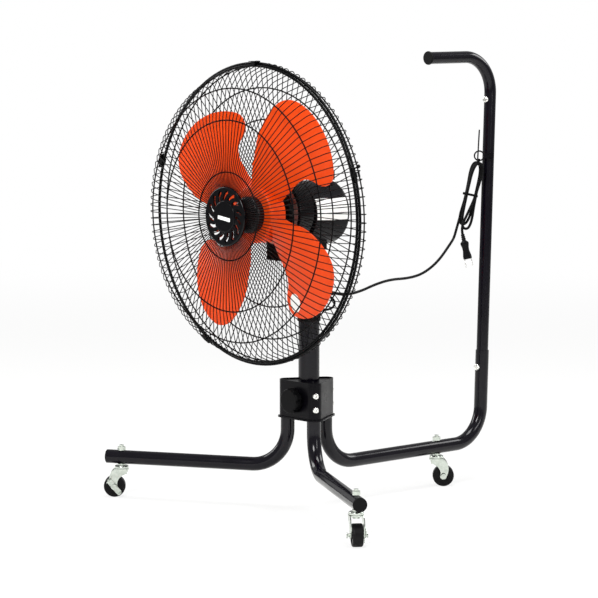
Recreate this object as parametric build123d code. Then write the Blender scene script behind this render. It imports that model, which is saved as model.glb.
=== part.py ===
from build123d import *
import math
import os

# A floor fan on a three-caster tube stand, with a push handle.
# Millimetres. The floor is Z = 0 and the mast stands on the Z axis.
# The fan blows towards -Y, and the push handle stands on the +Y side.

# --- stand tubes ---
tube_radius = 12.7
tube_wall = 1.4
leg_circle = 40.4            # from the mast's axis to each leg's upright
leg_height = 74.0            # height of the level tubes' axis
leg_bend = 68.0              # bend radius on the tube's axis
leg_top = 226.0
front_leg_reach = 389.5      # from the mast's axis to the tube's end
front_leg_angles = {"left": 210.0, "right": 330.0}
post_foot = 445.0            # where the leaning upright meets the level tube's axis
post_lean = 1.95             # degrees back from upright
post_slip = 0.15             # the thinner post slides into the leg's tube
post_bottom = 208.0
rear_leg_top = 248.0
grip_height = 807.0
grip_bend = 68.0
joint_height = grip_height - grip_bend - 4.0    # where post and grip tube meet
joint_overlap = 36.0
grip_end = 302.0
slip = 0.08                  # clearance between tubes that slide together

# --- bracket in the middle ---
bracket_bottom = 167.0
bracket_top = 233.5
bracket_sheet = 1.6
bracket_slip = 0.1
base_lip = 3.2
plate_sheet = 2.6
top_plate_drop = 2.4
screw_heights = (bracket_bottom + 18.0, bracket_top - 23.0)
screw_faces = ((210.0, 150.0), (330.0, 330.0), (90.0, 90.0))   # leg, and the way its screws face
screw_head_radius = 5.4
screw_head_height = 3.2
screw_shank_radius = 2.5
handle_screw_heights = (bracket_top - 17.5, joint_height - 9.0)
handle_screw_radius = 6.2
handle_screw_head = 4.2

# --- mast and neck ---
mast_radius = 19.05
mast_wall = 1.8
mast_top = 351.0
collar_bottom = mast_top - 10.0
collar_top = mast_top + 3.0
collar_wall = 1.9
neck_radius = 17.0
housing_bottom = mast_top + 23.0
housing_top = mast_top + 49.0
housing_radius = 29.0
spigot_radius = 12.0
spigot_top = housing_top + 26.0
running_gap = 0.05           # radial gap of a shaft that turns in its hole
face_gap = 0.5               # between faces that turn past each other

# --- lock knob on the bracket ---
knob_height = bracket_bottom + 32.0
knob_radius = 22.5
knob_thickness = 13.0
knob_stud_radius = 4.0
knob_lobe_count = 8
boss_radius = 8.5
boss_length = 2.6

# --- casters ---
caster_inset = 26.5          # from a front leg's end back to its caster
caster_places = {            # distance from the mast, direction of the leg, direction of trail
    "left": (front_leg_reach - caster_inset, 210.0, 227.0),
    "right": (front_leg_reach - caster_inset, 330.0, -36.0),
    "rear": (post_foot - 117.0, 90.0, 47.0),
}
wheel_radius = 20.0
wheel_width = 19.0
wheel_trail = 13.0
axle_radius = 3.0
axle_overhang = 16.6
cheek_gap = 1.2
cheek_sheet = 2.0
crown_radius = 13.5
crown_top = 52.8
crown_sheet = 2.5
stem_radius = 4.0
race_radius = 13.0
race_bottom = 53.4
race_top = 58.6
stem_collar_radius = 7.0
stem_retainer_radius = 6.5
stem_nut_across = 13.0
stem_nut_height = 6.6
stem_end = 97.0
brake_sheet = 1.5
brake_gap = 0.4
brake_half = 18.0
brake_width = 10.0
brake_angle = 49.0           # the rocker's slope, down towards the stem
brake_tabs = (13.5, 8.0)     # how far its upper and lower tabs stand out

# --- tilt joint on the neck, and the fan axis above it; forward is -Y ---
tilt_height = housing_top + 45.0
tilt_drop = 95.0             # from the fan's axis down to the tilt bolt
fan_height = tilt_height + tilt_drop
rim_y = -129.0
rim_radius = 264.0
rim_wire = 2.3
rim_step = 2.0               # each rim ring lies this far in or out of the mean radius
rim_stagger = 1.5            # and this far forward or back of the rim plane
wire = 0.8
ring_wire = 1.25
weld_gap = 0.05
front_wire_gap = 0.3       # from the front rim ring to the middle of a wire's slanting end
rear_wire_gap = 0.12
front_wire_count = 120
rear_wire_count = 110
front_bulge = (249.5, 33.0)  # radius and depth of the corners of a bent wire
front_shoulder = (224.5, 52.0)
front_face = (168.4, 64.7)
front_inner = (77.6, 66.8)
front_wire_end = (47.0, 66.6)
front_bends = (24.0, 24.0, 60.0, 30.0)
rear_wall_back = -19.0
rear_shoulder = (222.6, -24.0)
rear_face = (166.5, -34.0)
rear_wire_end = (58.0, -49.6)
rear_bends = (8.0, 40.0, 60.0)
rear_hoop_depth = -9.5
rear_hoop_out = 0.36         # how far the sloping wall is outside the rim ring there
plate_radius = 62.0
plate_bore = 24.0
guard_plate_sheet = 1.5

# --- badge in the middle of the front guard ---
badge_radius = 52.0
badge_front = 72.2
badge_back = 67.7
badge_rim = 7.5
badge_disc_radius = 27.5
badge_slot_count = 15
badge_slot_width = 5.6
badge_slot_sweep = 17.0      # degrees that a slot turns between hub and rim

# --- guard clips ---
clip_angles = (90.0, 162.0, 240.2, 312.2, 18.0)
clip_width = 9.0
clip_lump = 2.0
clip_bore_gap = 0.3
clip_sheet = 1.4
clip_mouth = 1.6

# --- motor; places along Y ---
motor_radius = 54.0
motor_front = -71.0
motor_split = -34.0
motor_rear = 51.0
rear_cover_radius = 57.5
rear_cover_drop = 3.3        # its middle below the fan's axis
motor_wall = 2.5
motor_end_wall = 4.0
motor_round = 10.0
guard_boss_radius = 36.0
guard_boss_front = -76.7
guard_neck_front = -88.0
guard_neck_radius = 23.4
washer_radius = 57.0
washer_sheet = 1.0
shaft_radius = 5.0
shaft_front = -146.0
shaft_rear = 46.0
bearing_radius = 13.0
bearing_width = 8.0
bearing_front = -66.0
bearing_rear = 11.0
stator_front = -40.0
stator_rear = 0.0
stator_bore = 28.4
stator_radius = 51.2
stator_slot_count = 24
slot_depth = 13.0
slot_width = 4.0
coil_inner = 32.0
coil_outer = 46.0
coil_length = 9.0
rotor_radius = 28.0
nut_radius = 45.5
nut_length = 8.0

# --- swing gear behind the motor ---
worm_radius = 5.6
worm_core = 4.6
worm_ridge_count = 5
worm_pitch = 3.0
gear_tip = 13.0
gear_tooth_count = 30
gear_width = 8.0
gear_clear = 0.35
gear_y = 33.0
gear_shaft = 3.0
crank_radius = 9.0
crank_drop = 24.0
shelf_drop = 16.0
shelf_sheet = 4.0
swing_knob_radius = 9.0
swing_knob_height = 17.0

# --- blades ---
blade_count = 4
blade_sheet = 2.4
blade_front = 8.0            # depth of the forward edge
blade_rear = -27.0
blade_camber = 0.16
blade_phase = 0.0
blade_mid = 142.0            # middle and length of the twisted sheet that the blades are cut from
blade_span = 220.0
hub_radius = 51.0
hub_front = 8.0
hub_back = -26.0
hub_round = 4.5
hub_wall = 3.0
hub_bore_wall = 6.0
spinner_radius = 33.0
spinner_front = 25.0
spinner_round = 8.0
spinner_wall = 2.5

# --- switch box under the motor ---
box_half = 32.0
box_front = -75.5
box_rear = -26.0
box_bottom = fan_height - 86.0
box_top = fan_height - 57.0
box_wall = 2.0
switch_knob_radius = 11.0
switch_knob_length = 13.0
switch_shaft = 3.0
switch_y = -52.0
switch_z = fan_height - 72.0

# --- tilt joint ---
tilt_bolt_radius = 4.0
lug_radius = 13.0
lug_half = 21.5
cheek_inner = 22.0
cheek_outer = 26.5
swing_block_radius = 28.0
swing_block_top = tilt_height - 18.0
foot_half = 15.0
saddle_half = 31.0
saddle_top_drop = 25.0        # from the fan's axis down to the saddle's upper ends
tilt_knob_radius = 15.0
tilt_knob_length = 14.0

# --- cord ---
cord_radius = 2.5
lead_radius = 2.0
gland_angle = 75.0
lead_angle = 18.0
lead_end_angle = -7.0
gland_height = housing_bottom + 14.0
lead_end_height = gland_height - 26.0
gland_length = 13.0
# points of both leads in free air; the third number is the height above the glands
lead_points = ((51.5, 17.5, -11.0), (47.0, 13.0, -23.5))
cord_points = ((12.4, 84.0, -5.4), (8.2, 122.0, -2.0), (3.6, 162.0, 7.0), (-1.5, 207.0, 12.5),
               (-7.6, 260.0, 10.6), (-12.6, 304.0, 16.0), (-17.6, 348.0, 35.5), (-21.8, 385.0, 67.0))
hook_height = 620.0
hook_turn = -42.7            # direction in which the hook's plate faces
hook_stand_off = 20.8        # from the post's axis to the hook's mid plane
hook_shift = -18.5           # from the post's axis to the eye, along the plate
eye_radius = 9.0
eye_wire = 1.4


def axial(radius, back, front, bore=0.0, drop=0.0):
    """A round block along the fan's axis, from Y = back to Y = front."""
    low, high = min(back, front), max(back, front)
    block = Cylinder(radius, high - low)
    if bore:
        block -= Cylinder(bore, high - low)
    return Pos(0, (low + high) / 2, fan_height - drop) * Rot(90, 0, 0) * block


def upright(radius, bottom, top, bore=0.0):
    """A round block on the Z axis."""
    block = Pos(0, 0, (bottom + top) / 2) * Cylinder(radius, top - bottom)
    if bore:
        block -= Pos(0, 0, (bottom + top) / 2) * Cylinder(bore, top - bottom)
    return block


def on_fan_axis():
    """Frame of the fan: X across, Y up and Z forward from the rim plane."""
    return Plane(origin=(0, rim_y, fan_height), x_dir=(1, 0, 0), z_dir=(0, -1, 0))


def polar(angle, distance, height=0.0):
    turn = math.radians(angle)
    return (distance * math.cos(turn), distance * math.sin(turn), height)


def bent_tube(points, bend, outer, wall):
    route = FilletPolyline(*points, radius=bend)
    start = Plane(origin=route @ 0, z_dir=route % 0)
    body = sweep(start * Circle(outer), path=route)
    return body - sweep(start * Circle(outer - wall), path=route)


def post_y(height):
    """Y of the leaning upright's axis at a height."""
    return post_foot + (height - leg_height) * math.tan(math.radians(post_lean))


def front_leg(angle):
    points = [polar(angle, leg_circle, leg_top), polar(angle, leg_circle, leg_height),
              polar(angle, front_leg_reach, leg_height)]
    reach = caster_places["left"][0]
    leg = bent_tube(points, leg_bend, tube_radius, tube_wall)
    return leg - Pos(*polar(angle, reach, leg_height)) * Cylinder(stem_radius + slip, 4 * tube_radius)


def lean_frame(height):
    """Frame on the leaning upright's axis, Z along it."""
    return Plane(origin=(0, post_y(height), height), x_dir=(1, 0, 0),
                 z_dir=(0, math.sin(math.radians(post_lean)), math.cos(math.radians(post_lean))))


def lean_length(low, high):
    return (high - low) / math.cos(math.radians(post_lean))


def post_radius():
    return tube_radius - tube_wall - post_slip


def handle_seat(height, radius):
    """Plane on a leaning tube's side towards the mast."""
    lean = math.radians(post_lean)
    return Plane(origin=(0, post_y(height) - radius * math.cos(lean), height + radius * math.sin(lean)),
                 z_dir=(0, -math.cos(lean), math.sin(lean)))


def screw_hole(height):
    """Cutter for a handle screw's hole in the wall towards the mast."""
    return handle_seat(height, post_radius()).location * Cylinder(screw_shank_radius + slip, tube_radius)


def rear_leg():
    points = [(0, leg_circle, leg_top), (0, leg_circle, leg_height), (0, post_foot, leg_height),
              (0, post_y(rear_leg_top), rear_leg_top)]
    leg = bent_tube(points, leg_bend, tube_radius, tube_wall) - screw_hole(handle_screw_heights[0])
    reach = caster_places["rear"][0]
    return leg - Pos(0, reach, leg_height) * Cylinder(stem_radius + slip, 4 * tube_radius)


def handle_post():
    length = lean_length(post_bottom, joint_height)
    post = Pos(0, 0, length / 2) * Cylinder(post_radius(), length)
    post -= Pos(0, 0, length / 2) * Cylinder(post_radius() - tube_wall, length)
    return lean_frame(post_bottom).location * post - screw_hole(handle_screw_heights[1])


def handle_grip():
    bottom = joint_height + 0.1
    points = [(0, post_y(bottom), bottom), (0, post_y(grip_height), grip_height),
              (0, grip_end, grip_height)]
    grip = bent_tube(points, grip_bend - 0.5, post_radius(), tube_wall)
    spigot_outer = post_radius() - tube_wall - slip
    middle = (1.0 - joint_overlap) / 2
    spigot = Pos(0, 0, middle) * Cylinder(spigot_outer, joint_overlap + 1.0)
    bridge = Pos(0, 0, 0.5) * Cylinder(post_radius() - 0.3, 1.0)
    spigot += bridge
    spigot -= Pos(0, 0, middle) * Cylinder(spigot_outer - tube_wall, joint_overlap + 2.0)
    return grip + lean_frame(bottom).location * spigot


def tube_cap(tube):
    """A plug for an open tube's end, with its head in +Z."""
    head = Cylinder(tube_radius, 2.6, align=(Align.CENTER, Align.CENTER, Align.MIN))
    head = fillet(head.edges().group_by(Axis.Z)[-1], 1.6)
    plug = Cylinder(tube - tube_wall - slip, 14, align=(Align.CENTER, Align.CENTER, Align.MAX))
    return head + plug


def tube_end_caps():
    caps = []
    for angle in front_leg_angles.values():
        outward = polar(angle, 1.0)
        place = Plane(origin=polar(angle, front_leg_reach, leg_height), z_dir=outward)
        caps.append(place.location * tube_cap(tube_radius))
    place = Plane(origin=(0, grip_end, grip_height), z_dir=(0, -1, 0))
    caps.append(place.location * tube_cap(post_radius()))
    return Compound(children=caps)


def lobed_outline(radius):
    """Round-cornered triangle whose corners follow the three leg uprights."""
    corners = [polar(angle, leg_circle)[:2] for angle in (90.0, 210.0, 330.0)]
    return offset(Polygon(*corners, align=None), amount=radius, kind=Kind.ARC)


def bracket_inner():
    return tube_radius + bracket_slip


def web_face_y():
    """Y of the bracket's flat front wall, outside."""
    return -(leg_circle * math.sin(math.radians(30)) + bracket_inner() + bracket_sheet)


def screw_seat(angle, facing, height):
    """Plane on the sleeve's outside where a leg's screw sits."""
    centre = Vector(*polar(angle, leg_circle, height))
    out = Vector(*polar(facing, 1.0))
    return Plane(origin=centre + out * (bracket_inner() + bracket_sheet), z_dir=out)


def bracket_sleeve():
    wall = lobed_outline(bracket_inner() + bracket_sheet) - lobed_outline(bracket_inner())
    sleeve = Pos(0, 0, bracket_bottom) * extrude(wall, bracket_top - bracket_bottom)
    boss_y = web_face_y() - boss_length / 2
    sleeve += Pos(0, boss_y, knob_height) * Rot(90, 0, 0) * Cylinder(boss_radius, boss_length)
    sleeve -= Pos(0, web_face_y(), knob_height) * Rot(90, 0, 0) * Cylinder(
        knob_stud_radius + running_gap, 6 * bracket_sheet)
    for angle, facing in screw_faces:
        for height in screw_heights:
            sleeve -= screw_seat(angle, facing, height).location * Cylinder(
                screw_shank_radius + slip, 4 * bracket_sheet)
    return sleeve


def bracket_plates():
    base = extrude(lobed_outline(bracket_inner() + bracket_sheet + base_lip), -plate_sheet)
    base = Pos(0, 0, bracket_bottom) * base
    top = Pos(0, 0, bracket_top - top_plate_drop - plate_sheet) * extrude(
        lobed_outline(tube_radius), plate_sheet)
    top -= upright(mast_radius + slip, bracket_bottom, bracket_top)
    for angle in (90.0, 210.0, 330.0):
        hole = Cylinder(tube_radius + slip, 4 * plate_sheet)
        base -= Pos(*polar(angle, leg_circle, bracket_bottom)) * hole
    return [base, top]


def button_screw(shank):
    """A screw with its head's underside at Z = 0 and its shank towards -Z."""
    head = Cylinder(screw_head_radius, screw_head_height, align=(Align.CENTER, Align.CENTER, Align.MIN))
    head = fillet(head.edges().group_by(Axis.Z)[-1], 2.2)
    head -= Pos(0, 0, screw_head_height) * extrude(RegularPolygon(1.9, 6), 2.6, both=True)
    return head + Cylinder(screw_shank_radius, shank, align=(Align.CENTER, Align.CENTER, Align.MAX))


def bracket_screws():
    screws = []
    for angle, facing in screw_faces:
        for height in screw_heights:
            place = screw_seat(angle, facing, height)
            screws.append(place.location * button_screw(bracket_sheet + bracket_slip))
    return screws


def handle_screws():
    """One screw in each of the handle's two joints, on the side towards the mast."""
    screws = []
    for height, radius in zip(handle_screw_heights, (tube_radius, post_radius())):
        head = Cylinder(handle_screw_radius, handle_screw_head,
                        align=(Align.CENTER, Align.CENTER, Align.MIN))
        head = fillet(head.edges().group_by(Axis.Z)[-1], 2.8)
        head += Cylinder(screw_shank_radius, tube_wall - 0.1, align=(Align.CENTER, Align.CENTER, Align.MAX))
        screws.append(handle_seat(height, radius + 0.02).location * head)
    return screws


def mast():
    floor = bracket_bottom + 0.1
    return upright(mast_radius, floor, mast_top, mast_radius - mast_wall)


def mast_collar():
    return upright(mast_radius + slip + collar_wall, collar_bottom, collar_top, mast_radius + slip)


def neck_housing():
    """The casting on the mast's top that carries the swing joint's spigot."""
    plug_bottom = mast_top - 22.0
    neck = upright(mast_radius - mast_wall - slip, plug_bottom, mast_top + 0.1)
    neck += upright(mast_radius + slip + collar_wall, collar_top + 0.1, collar_top + 3.1)
    neck += upright(neck_radius, mast_top, housing_bottom + 1.0)
    body = fillet(upright(housing_radius, housing_bottom, housing_top).edges(), 3.0)
    neck += body
    neck += upright(spigot_radius, housing_top - 1.0, spigot_top)
    neck += upright(spigot_radius + 4.0, housing_top - 1.0, housing_top + 0.0)
    for angle, radius in ((gland_angle, cord_radius + 2.2), (lead_angle, lead_radius + 1.6)):
        socket = Plane(origin=polar(angle, housing_radius, gland_height), z_dir=polar(angle, 1.0))
        neck -= socket.location * Cylinder(radius + slip, 10)
    entry = Plane(origin=polar(lead_end_angle, neck_radius, lead_end_height),
                  z_dir=polar(lead_end_angle, 1.0))
    return neck - entry.location * Cylinder(lead_radius + slip, 9)


def cord_glands():
    """The two rubber strain reliefs in the neck casting, each with its cord's bore."""
    glands = []
    for angle, cord, length in ((gland_angle, cord_radius, gland_length), (lead_angle, lead_radius, 7.0)):
        shank = cord + (2.2 if cord == cord_radius else 1.6)
        body = Pos(0, 0, -2.4) * Cylinder(shank, 4.8)
        body += Cone(shank + 1.4, cord + 1.0, length, align=(Align.CENTER, Align.CENTER, Align.MIN))
        body -= Pos(0, 0, length - 4.0) * Cylinder(cord, 8.1)
        place = Plane(origin=polar(angle, housing_radius + 0.1, gland_height), z_dir=polar(angle, 1.0))
        glands.append(place.location * body)
    return Compound(children=glands)


def lobed_knob(radius, thickness, lobes):
    """A grip with shallow finger scallops, its back face at Z = 0."""
    body = Cylinder(radius, thickness, align=(Align.CENTER, Align.CENTER, Align.MIN))
    body = fillet(body.edges().group_by(Axis.Z)[-1], thickness * 0.25)
    scallop = radius * 0.22
    for step in range(lobes):
        place = polar(360.0 * step / lobes, radius * 1.12, thickness / 2)
        body -= Pos(*place) * Cylinder(scallop, 2 * thickness)
    return body


def lock_knob():
    """Screw knob on the bracket's front wall; its stud presses on the mast."""
    back = web_face_y() - boss_length - face_gap
    tip = -(mast_radius + 0.3)
    grip = Plane(origin=(0, back, knob_height), x_dir=(1, 0, 0), z_dir=(0, -1, 0)).location * lobed_knob(
        knob_radius, knob_thickness, knob_lobe_count)
    length = tip - back
    stud = Cylinder(knob_stud_radius, length)
    return grip + Pos(0, back + length / 2, knob_height) * Rot(90, 0, 0) * stud


def caster_frame(name):
    """Frame on the floor under a caster's stem, X along the wheel's trail."""
    reach, direction, trail = caster_places[name]
    return Pos(*polar(direction, reach)) * Rot(0, 0, trail)


def caster_stems():
    stems = []
    for name in caster_places:
        stem = upright(stem_radius, crown_top - crown_sheet - 3.0, stem_end)
        stem += upright(stem_retainer_radius, crown_top - crown_sheet - 3.4, crown_top - crown_sheet - 0.6)
        race = upright(race_radius, race_bottom, race_top)
        stem += fillet(race.edges().group_by(Axis.Z)[-1], 2.5)
        stem += upright(stem_collar_radius, race_top - 0.5, leg_height - tube_radius - 0.1)
        nut_bottom = leg_height + tube_radius + 0.1
        nut = Pos(0, 0, nut_bottom) * extrude(RegularPolygon(stem_nut_across / 2, 6, major_radius=False),
                                              stem_nut_height)
        stems.append(caster_frame(name) * (stem + nut))
    return Compound(children=stems)


def caster_fork(name):
    """Fork with its riveted axle."""
    crown_bottom = crown_top - crown_sheet
    inner = wheel_width / 2 + cheek_gap
    crown = upright(crown_radius, crown_bottom, crown_top)
    crown += Pos(1.0, 0, crown_bottom + crown_sheet / 2) * Box(22, 2 * (inner + cheek_sheet), crown_sheet)
    crown -= upright(stem_radius + running_gap, crown_bottom - 1, crown_top + 1)
    outer = Spline((12, crown_top), (19.5, 45.5), (22.6, 35), (19.2, wheel_radius))
    inner_edge = Spline((6.8, wheel_radius), (7.2, 29), (1.5, 38), (-10.5, 44))
    rest = Polyline((-10.5, 44), (-10.5, crown_top), (12, crown_top))
    side = make_face(Wire([*outer.edges(), *Line((19.2, wheel_radius), (6.8, wheel_radius)).edges(),
                           *inner_edge.edges(), *rest.edges()]))
    side += Pos(wheel_trail, wheel_radius) * Circle(6.2)
    side -= Pos(wheel_trail, wheel_radius) * Circle(axle_radius + slip)
    fork = crown
    for direction in (-1, 1):
        cheek = extrude(Plane.XZ * side, cheek_sheet / 2, both=True)
        fork += Pos(0, direction * (inner + cheek_sheet / 2), 0) * cheek
    axle = Pos(wheel_trail, 0, wheel_radius) * Rot(90, 0, 0) * Cylinder(axle_radius, 2 * axle_overhang)
    head = Cylinder(axle_radius + 2.2, 1.6)
    for direction in (-1, 1):
        axle += Pos(wheel_trail, direction * (axle_overhang + 0.8), wheel_radius) * Rot(90, 0, 0) * head
    place = caster_frame(name)
    return Compound(children=[place * fork, place * axle])


def caster_wheel(name):
    tread = Cylinder(wheel_radius, wheel_width)
    tread = fillet(tread.edges(), 3.2)
    hub_length = 2 * (wheel_width / 2 + cheek_gap - 0.3)
    for direction in (-1, 1):
        recess = Cylinder(14.0, 2.4) - Cylinder(7.0, 2.4)
        tread -= Pos(0, 0, direction * wheel_width / 2) * recess
    tread += Cylinder(6.0, hub_length)
    tread -= Cylinder(axle_radius + running_gap, 2 * hub_length)
    return caster_frame(name) * Pos(wheel_trail, 0, wheel_radius) * Rot(90, 0, 0) * tread


def caster_brake(name):
    """Rocker plate that turns on the axle, outside the fork, with a foot tab at each end."""
    inner = wheel_width / 2 + cheek_gap + cheek_sheet + brake_gap
    outline = SlotOverall(2 * brake_half, brake_width) - Circle(axle_radius + running_gap)
    plate = extrude(outline, brake_sheet)
    for side, length in ((1, brake_tabs[0]), (-1, brake_tabs[1])):
        tab = Box(brake_sheet, brake_width - 2.0, length, align=(Align.CENTER, Align.CENTER, Align.MIN))
        plate += Pos(side * (brake_half - 2.4), 0, 0.2) * tab
    place = Plane(origin=(wheel_trail, inner, wheel_radius), z_dir=(0, 1, 0), x_dir=(1, 0, 0))
    return caster_frame(name) * place.location * Rot(0, 0, -brake_angle) * plate


def swing_yoke():
    """Casting that turns on the neck's spigot and carries the tilt bolt."""
    bottom = housing_top + face_gap
    block = upright(swing_block_radius, bottom, swing_block_top)
    block = fillet(block.edges().group_by(Axis.Z)[0], 2.0)
    block -= upright(spigot_radius + running_gap, bottom - 1.0, spigot_top + 0.4)
    for side in (-1, 1):
        middle = side * (cheek_inner + cheek_outer) / 2
        ear = Rectangle(2 * lug_radius, tilt_height - swing_block_top + 3.0,
                        align=(Align.CENTER, Align.MIN))
        ear = Pos(0, swing_block_top - 3.0) * ear + Pos(0, tilt_height) * Circle(lug_radius)
        ear = extrude(Plane.YZ * ear, (cheek_outer - cheek_inner) / 2, both=True)
        block += Pos(middle, 0, 0) * ear
    return block - Pos(0, 0, tilt_height) * Rot(0, 90, 0) * Cylinder(tilt_bolt_radius + running_gap, 80)


def motor_foot():
    """Lug between the yoke's ears, with a saddle for the motor."""
    lug = Rectangle(2 * lug_radius, fan_height - tilt_height, align=(Align.CENTER, Align.MIN))
    lug = Pos(0, tilt_height) * lug + Pos(0, tilt_height) * Circle(lug_radius)
    foot = extrude(Plane.YZ * lug, lug_half, both=True)
    saddle_bottom = fan_height - rear_cover_drop - rear_cover_radius - 8.0
    foot += Pos(0, 0, (saddle_bottom + fan_height) / 2) * Box(
        2 * saddle_half, 2 * foot_half, fan_height - saddle_bottom)
    foot -= axial(rear_cover_radius + slip, -90, 90, drop=rear_cover_drop)
    over = 2 * rear_cover_radius
    foot -= Pos(0, 0, fan_height - saddle_top_drop + over / 2) * Box(over, over, over)
    return foot - Pos(0, 0, tilt_height) * Rot(0, 90, 0) * Cylinder(tilt_bolt_radius + running_gap, 80)


def tilt_knob():
    """Clamp bolt of the tilt joint with its knob on the +X side."""
    head = lobed_knob(tilt_knob_radius, tilt_knob_length, 6)
    seat = cheek_outer + face_gap
    knob = Plane(origin=(seat, 0, tilt_height), x_dir=(0, 1, 0), z_dir=(1, 0, 0)).location * head
    far = -(cheek_outer + 6.5)
    knob += Pos((seat + far) / 2, 0, tilt_height) * Rot(0, 90, 0) * Cylinder(tilt_bolt_radius, seat - far)
    washer_mid = -(cheek_outer + face_gap + 2.5)
    nut = Pos(washer_mid, 0, tilt_height) * Rot(0, 90, 0) * extrude(RegularPolygon(7.0, 6), 2.5, both=True)
    return knob + nut


def motor_front_cover():
    wall = axial(motor_radius, motor_split, motor_front, motor_radius - motor_wall)
    wall += axial(motor_radius, motor_front, motor_front + motor_end_wall)
    wall += axial(guard_boss_radius, motor_front + 1.0, guard_boss_front)
    wall += axial(guard_neck_radius, motor_front + 1.0, guard_neck_front)
    seat_end = bearing_front + bearing_width
    wall += axial(bearing_radius + 4.0, motor_front + motor_end_wall - 0.5, seat_end)
    wall -= axial(bearing_radius + slip, bearing_front, seat_end + 1.0)
    wall -= axial(shaft_radius + 1.2, guard_neck_front - 1.0, seat_end)
    edges = wall.edges().filter_by(GeomType.CIRCLE).filter_by(
        lambda edge: abs(edge.radius - motor_radius) < 0.01).sort_by(Axis.Y)
    return fillet(edges[0], 3.0)


def gear_x():
    """Across the fan's axis, from the worm to the gear's upright shaft."""
    return worm_radius + gear_tip + gear_clear


def motor_rear_cover():
    drop = rear_cover_drop
    body = axial(rear_cover_radius, motor_split + 0.1, motor_rear, drop=drop)
    edges = body.edges().filter_by(GeomType.CIRCLE).sort_by(Axis.Y)
    body = fillet(edges[-1], motor_round)
    cavity = rear_cover_radius - motor_wall
    body -= axial(cavity, motor_split + 3.0, motor_rear - motor_end_wall, drop=drop)
    body -= axial(motor_radius - motor_wall, motor_split - 1.0, motor_split + 4.0)
    seat_end = bearing_rear + bearing_width
    body += axial(cavity + 0.2, bearing_rear, seat_end, drop=drop)
    body -= axial(bearing_radius + slip, bearing_rear - 1.0, seat_end - 1.5)
    body -= axial(shaft_radius + 1.2, bearing_rear - 2.0, seat_end + 2.0)
    for step in range(6):
        x, z, _ = polar(60.0 * step + 30.0, 33.0)
        body -= Pos(x, bearing_rear + bearing_width / 2, fan_height + z) * Rot(90, 0, 0) * Cylinder(9.0, 20)
    shelf_top = fan_height - shelf_drop + shelf_sheet
    shelf = Pos(gear_x() + 8.0, gear_y, shelf_top - shelf_sheet / 2) * Box(56, 24, shelf_sheet)
    body += shelf & axial(cavity + 0.4, seat_end - 1.0, motor_rear - 1.0, drop=drop)
    body -= Pos(gear_x(), gear_y, fan_height - shelf_drop) * Cylinder(gear_shaft + running_gap, 30)
    body -= Pos(gear_x(), gear_y, fan_height + motor_radius) * Cylinder(gear_shaft + running_gap, 60)
    return body


def guard_washer():
    """Bright pressed washer between the rear guard's plate and its nut."""
    back = guard_plate_front_y() - 0.05
    return axial(washer_radius, back, back - washer_sheet, guard_neck_radius + 0.6)


def stator():
    core = axial(stator_radius, stator_front, stator_rear, stator_bore)
    middle = (stator_front + stator_rear) / 2
    length = stator_rear - stator_front + 2.0
    for step in range(stator_slot_count):
        slot = Pos(stator_bore + slot_depth / 2 - 1.0, 0, 0) * Box(slot_depth + 2.0, slot_width, length)
        turn = Rot(0, 0, 360.0 * step / stator_slot_count)
        core -= Pos(0, middle, fan_height) * Rot(90, 0, 0) * turn * slot
    return core


def windings():
    """The copper coil heads at both ends of the stator."""
    rings = []
    for near, far in ((stator_front - 0.1, stator_front - coil_length),
                      (stator_rear + 0.1, stator_rear + coil_length)):
        ring = axial(coil_outer, near, far, coil_inner)
        rings.append(fillet(ring.edges(), 2.5))
    return Compound(children=rings)


def motor_bearings():
    rings = []
    for start in (bearing_front, bearing_rear):
        ring = axial(bearing_radius, start + 0.1, start + bearing_width - 1.6, shaft_radius + running_gap)
        rings.append(ring)
    return Compound(children=rings)


def motor_shaft():
    """Shaft with the swing gear's worm cut on its rear end."""
    worm_length = worm_ridge_count * worm_pitch
    front_of_worm = gear_y - worm_length / 2
    shaft = axial(shaft_radius, shaft_front, front_of_worm)
    shaft += axial(worm_core - 0.6, front_of_worm - 0.5, shaft_rear)
    shaft += axial(worm_core, front_of_worm, front_of_worm + worm_length)
    for step in range(worm_ridge_count):
        middle = front_of_worm + (step + 0.5) * worm_pitch
        shaft += axial(worm_radius, middle - 0.6, middle + 0.6)
    return shaft


def rotor_core():
    return axial(rotor_radius, stator_front, stator_rear, shaft_radius)


def worm_wheel():
    """Gear on its upright shaft, with the crank disc and its pin below."""
    bottom = -crank_drop - 6.0
    gear = Pos(0, 0, 0) * Cylinder(gear_tip - 2.2, gear_width)
    for step in range(gear_tooth_count):
        tooth = Pos(gear_tip - 1.6, 0, 0) * Box(3.2, 1.5, gear_width)
        gear += Rot(0, 0, 360.0 * (step + 0.5) / gear_tooth_count) * tooth
    gear = gear & Cylinder(gear_tip, gear_width)
    gear += Pos(0, 0, (bottom + gear_width) / 2) * Cylinder(gear_shaft, gear_width - bottom)
    gear += Pos(0, 0, -crank_drop - 3.0) * Cylinder(crank_radius, 5.0)
    gear += Pos(crank_radius - 3.0, 0, -crank_drop - 8.0) * Cylinder(2.0, 7.0)
    return Pos(gear_x(), gear_y, fan_height) * gear


def cover_top():
    """Height of the rear cover's surface at the swing knob."""
    return fan_height - rear_cover_drop + math.sqrt(rear_cover_radius ** 2 - gear_x() ** 2)


def swing_knob():
    """Pull-up knob that starts and stops the swing."""
    seat = cover_top() + 4.0
    knob = Cylinder(swing_knob_radius, swing_knob_height, align=(Align.CENTER, Align.CENTER, Align.MIN))
    knob = fillet(knob.edges().group_by(Axis.Z)[-1], 3.0)
    stem_length = seat - (fan_height + gear_width / 2 + 6.0)
    knob += Cylinder(gear_shaft, stem_length, align=(Align.CENTER, Align.CENTER, Align.MAX))
    return Pos(gear_x(), gear_y, seat) * knob


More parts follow.
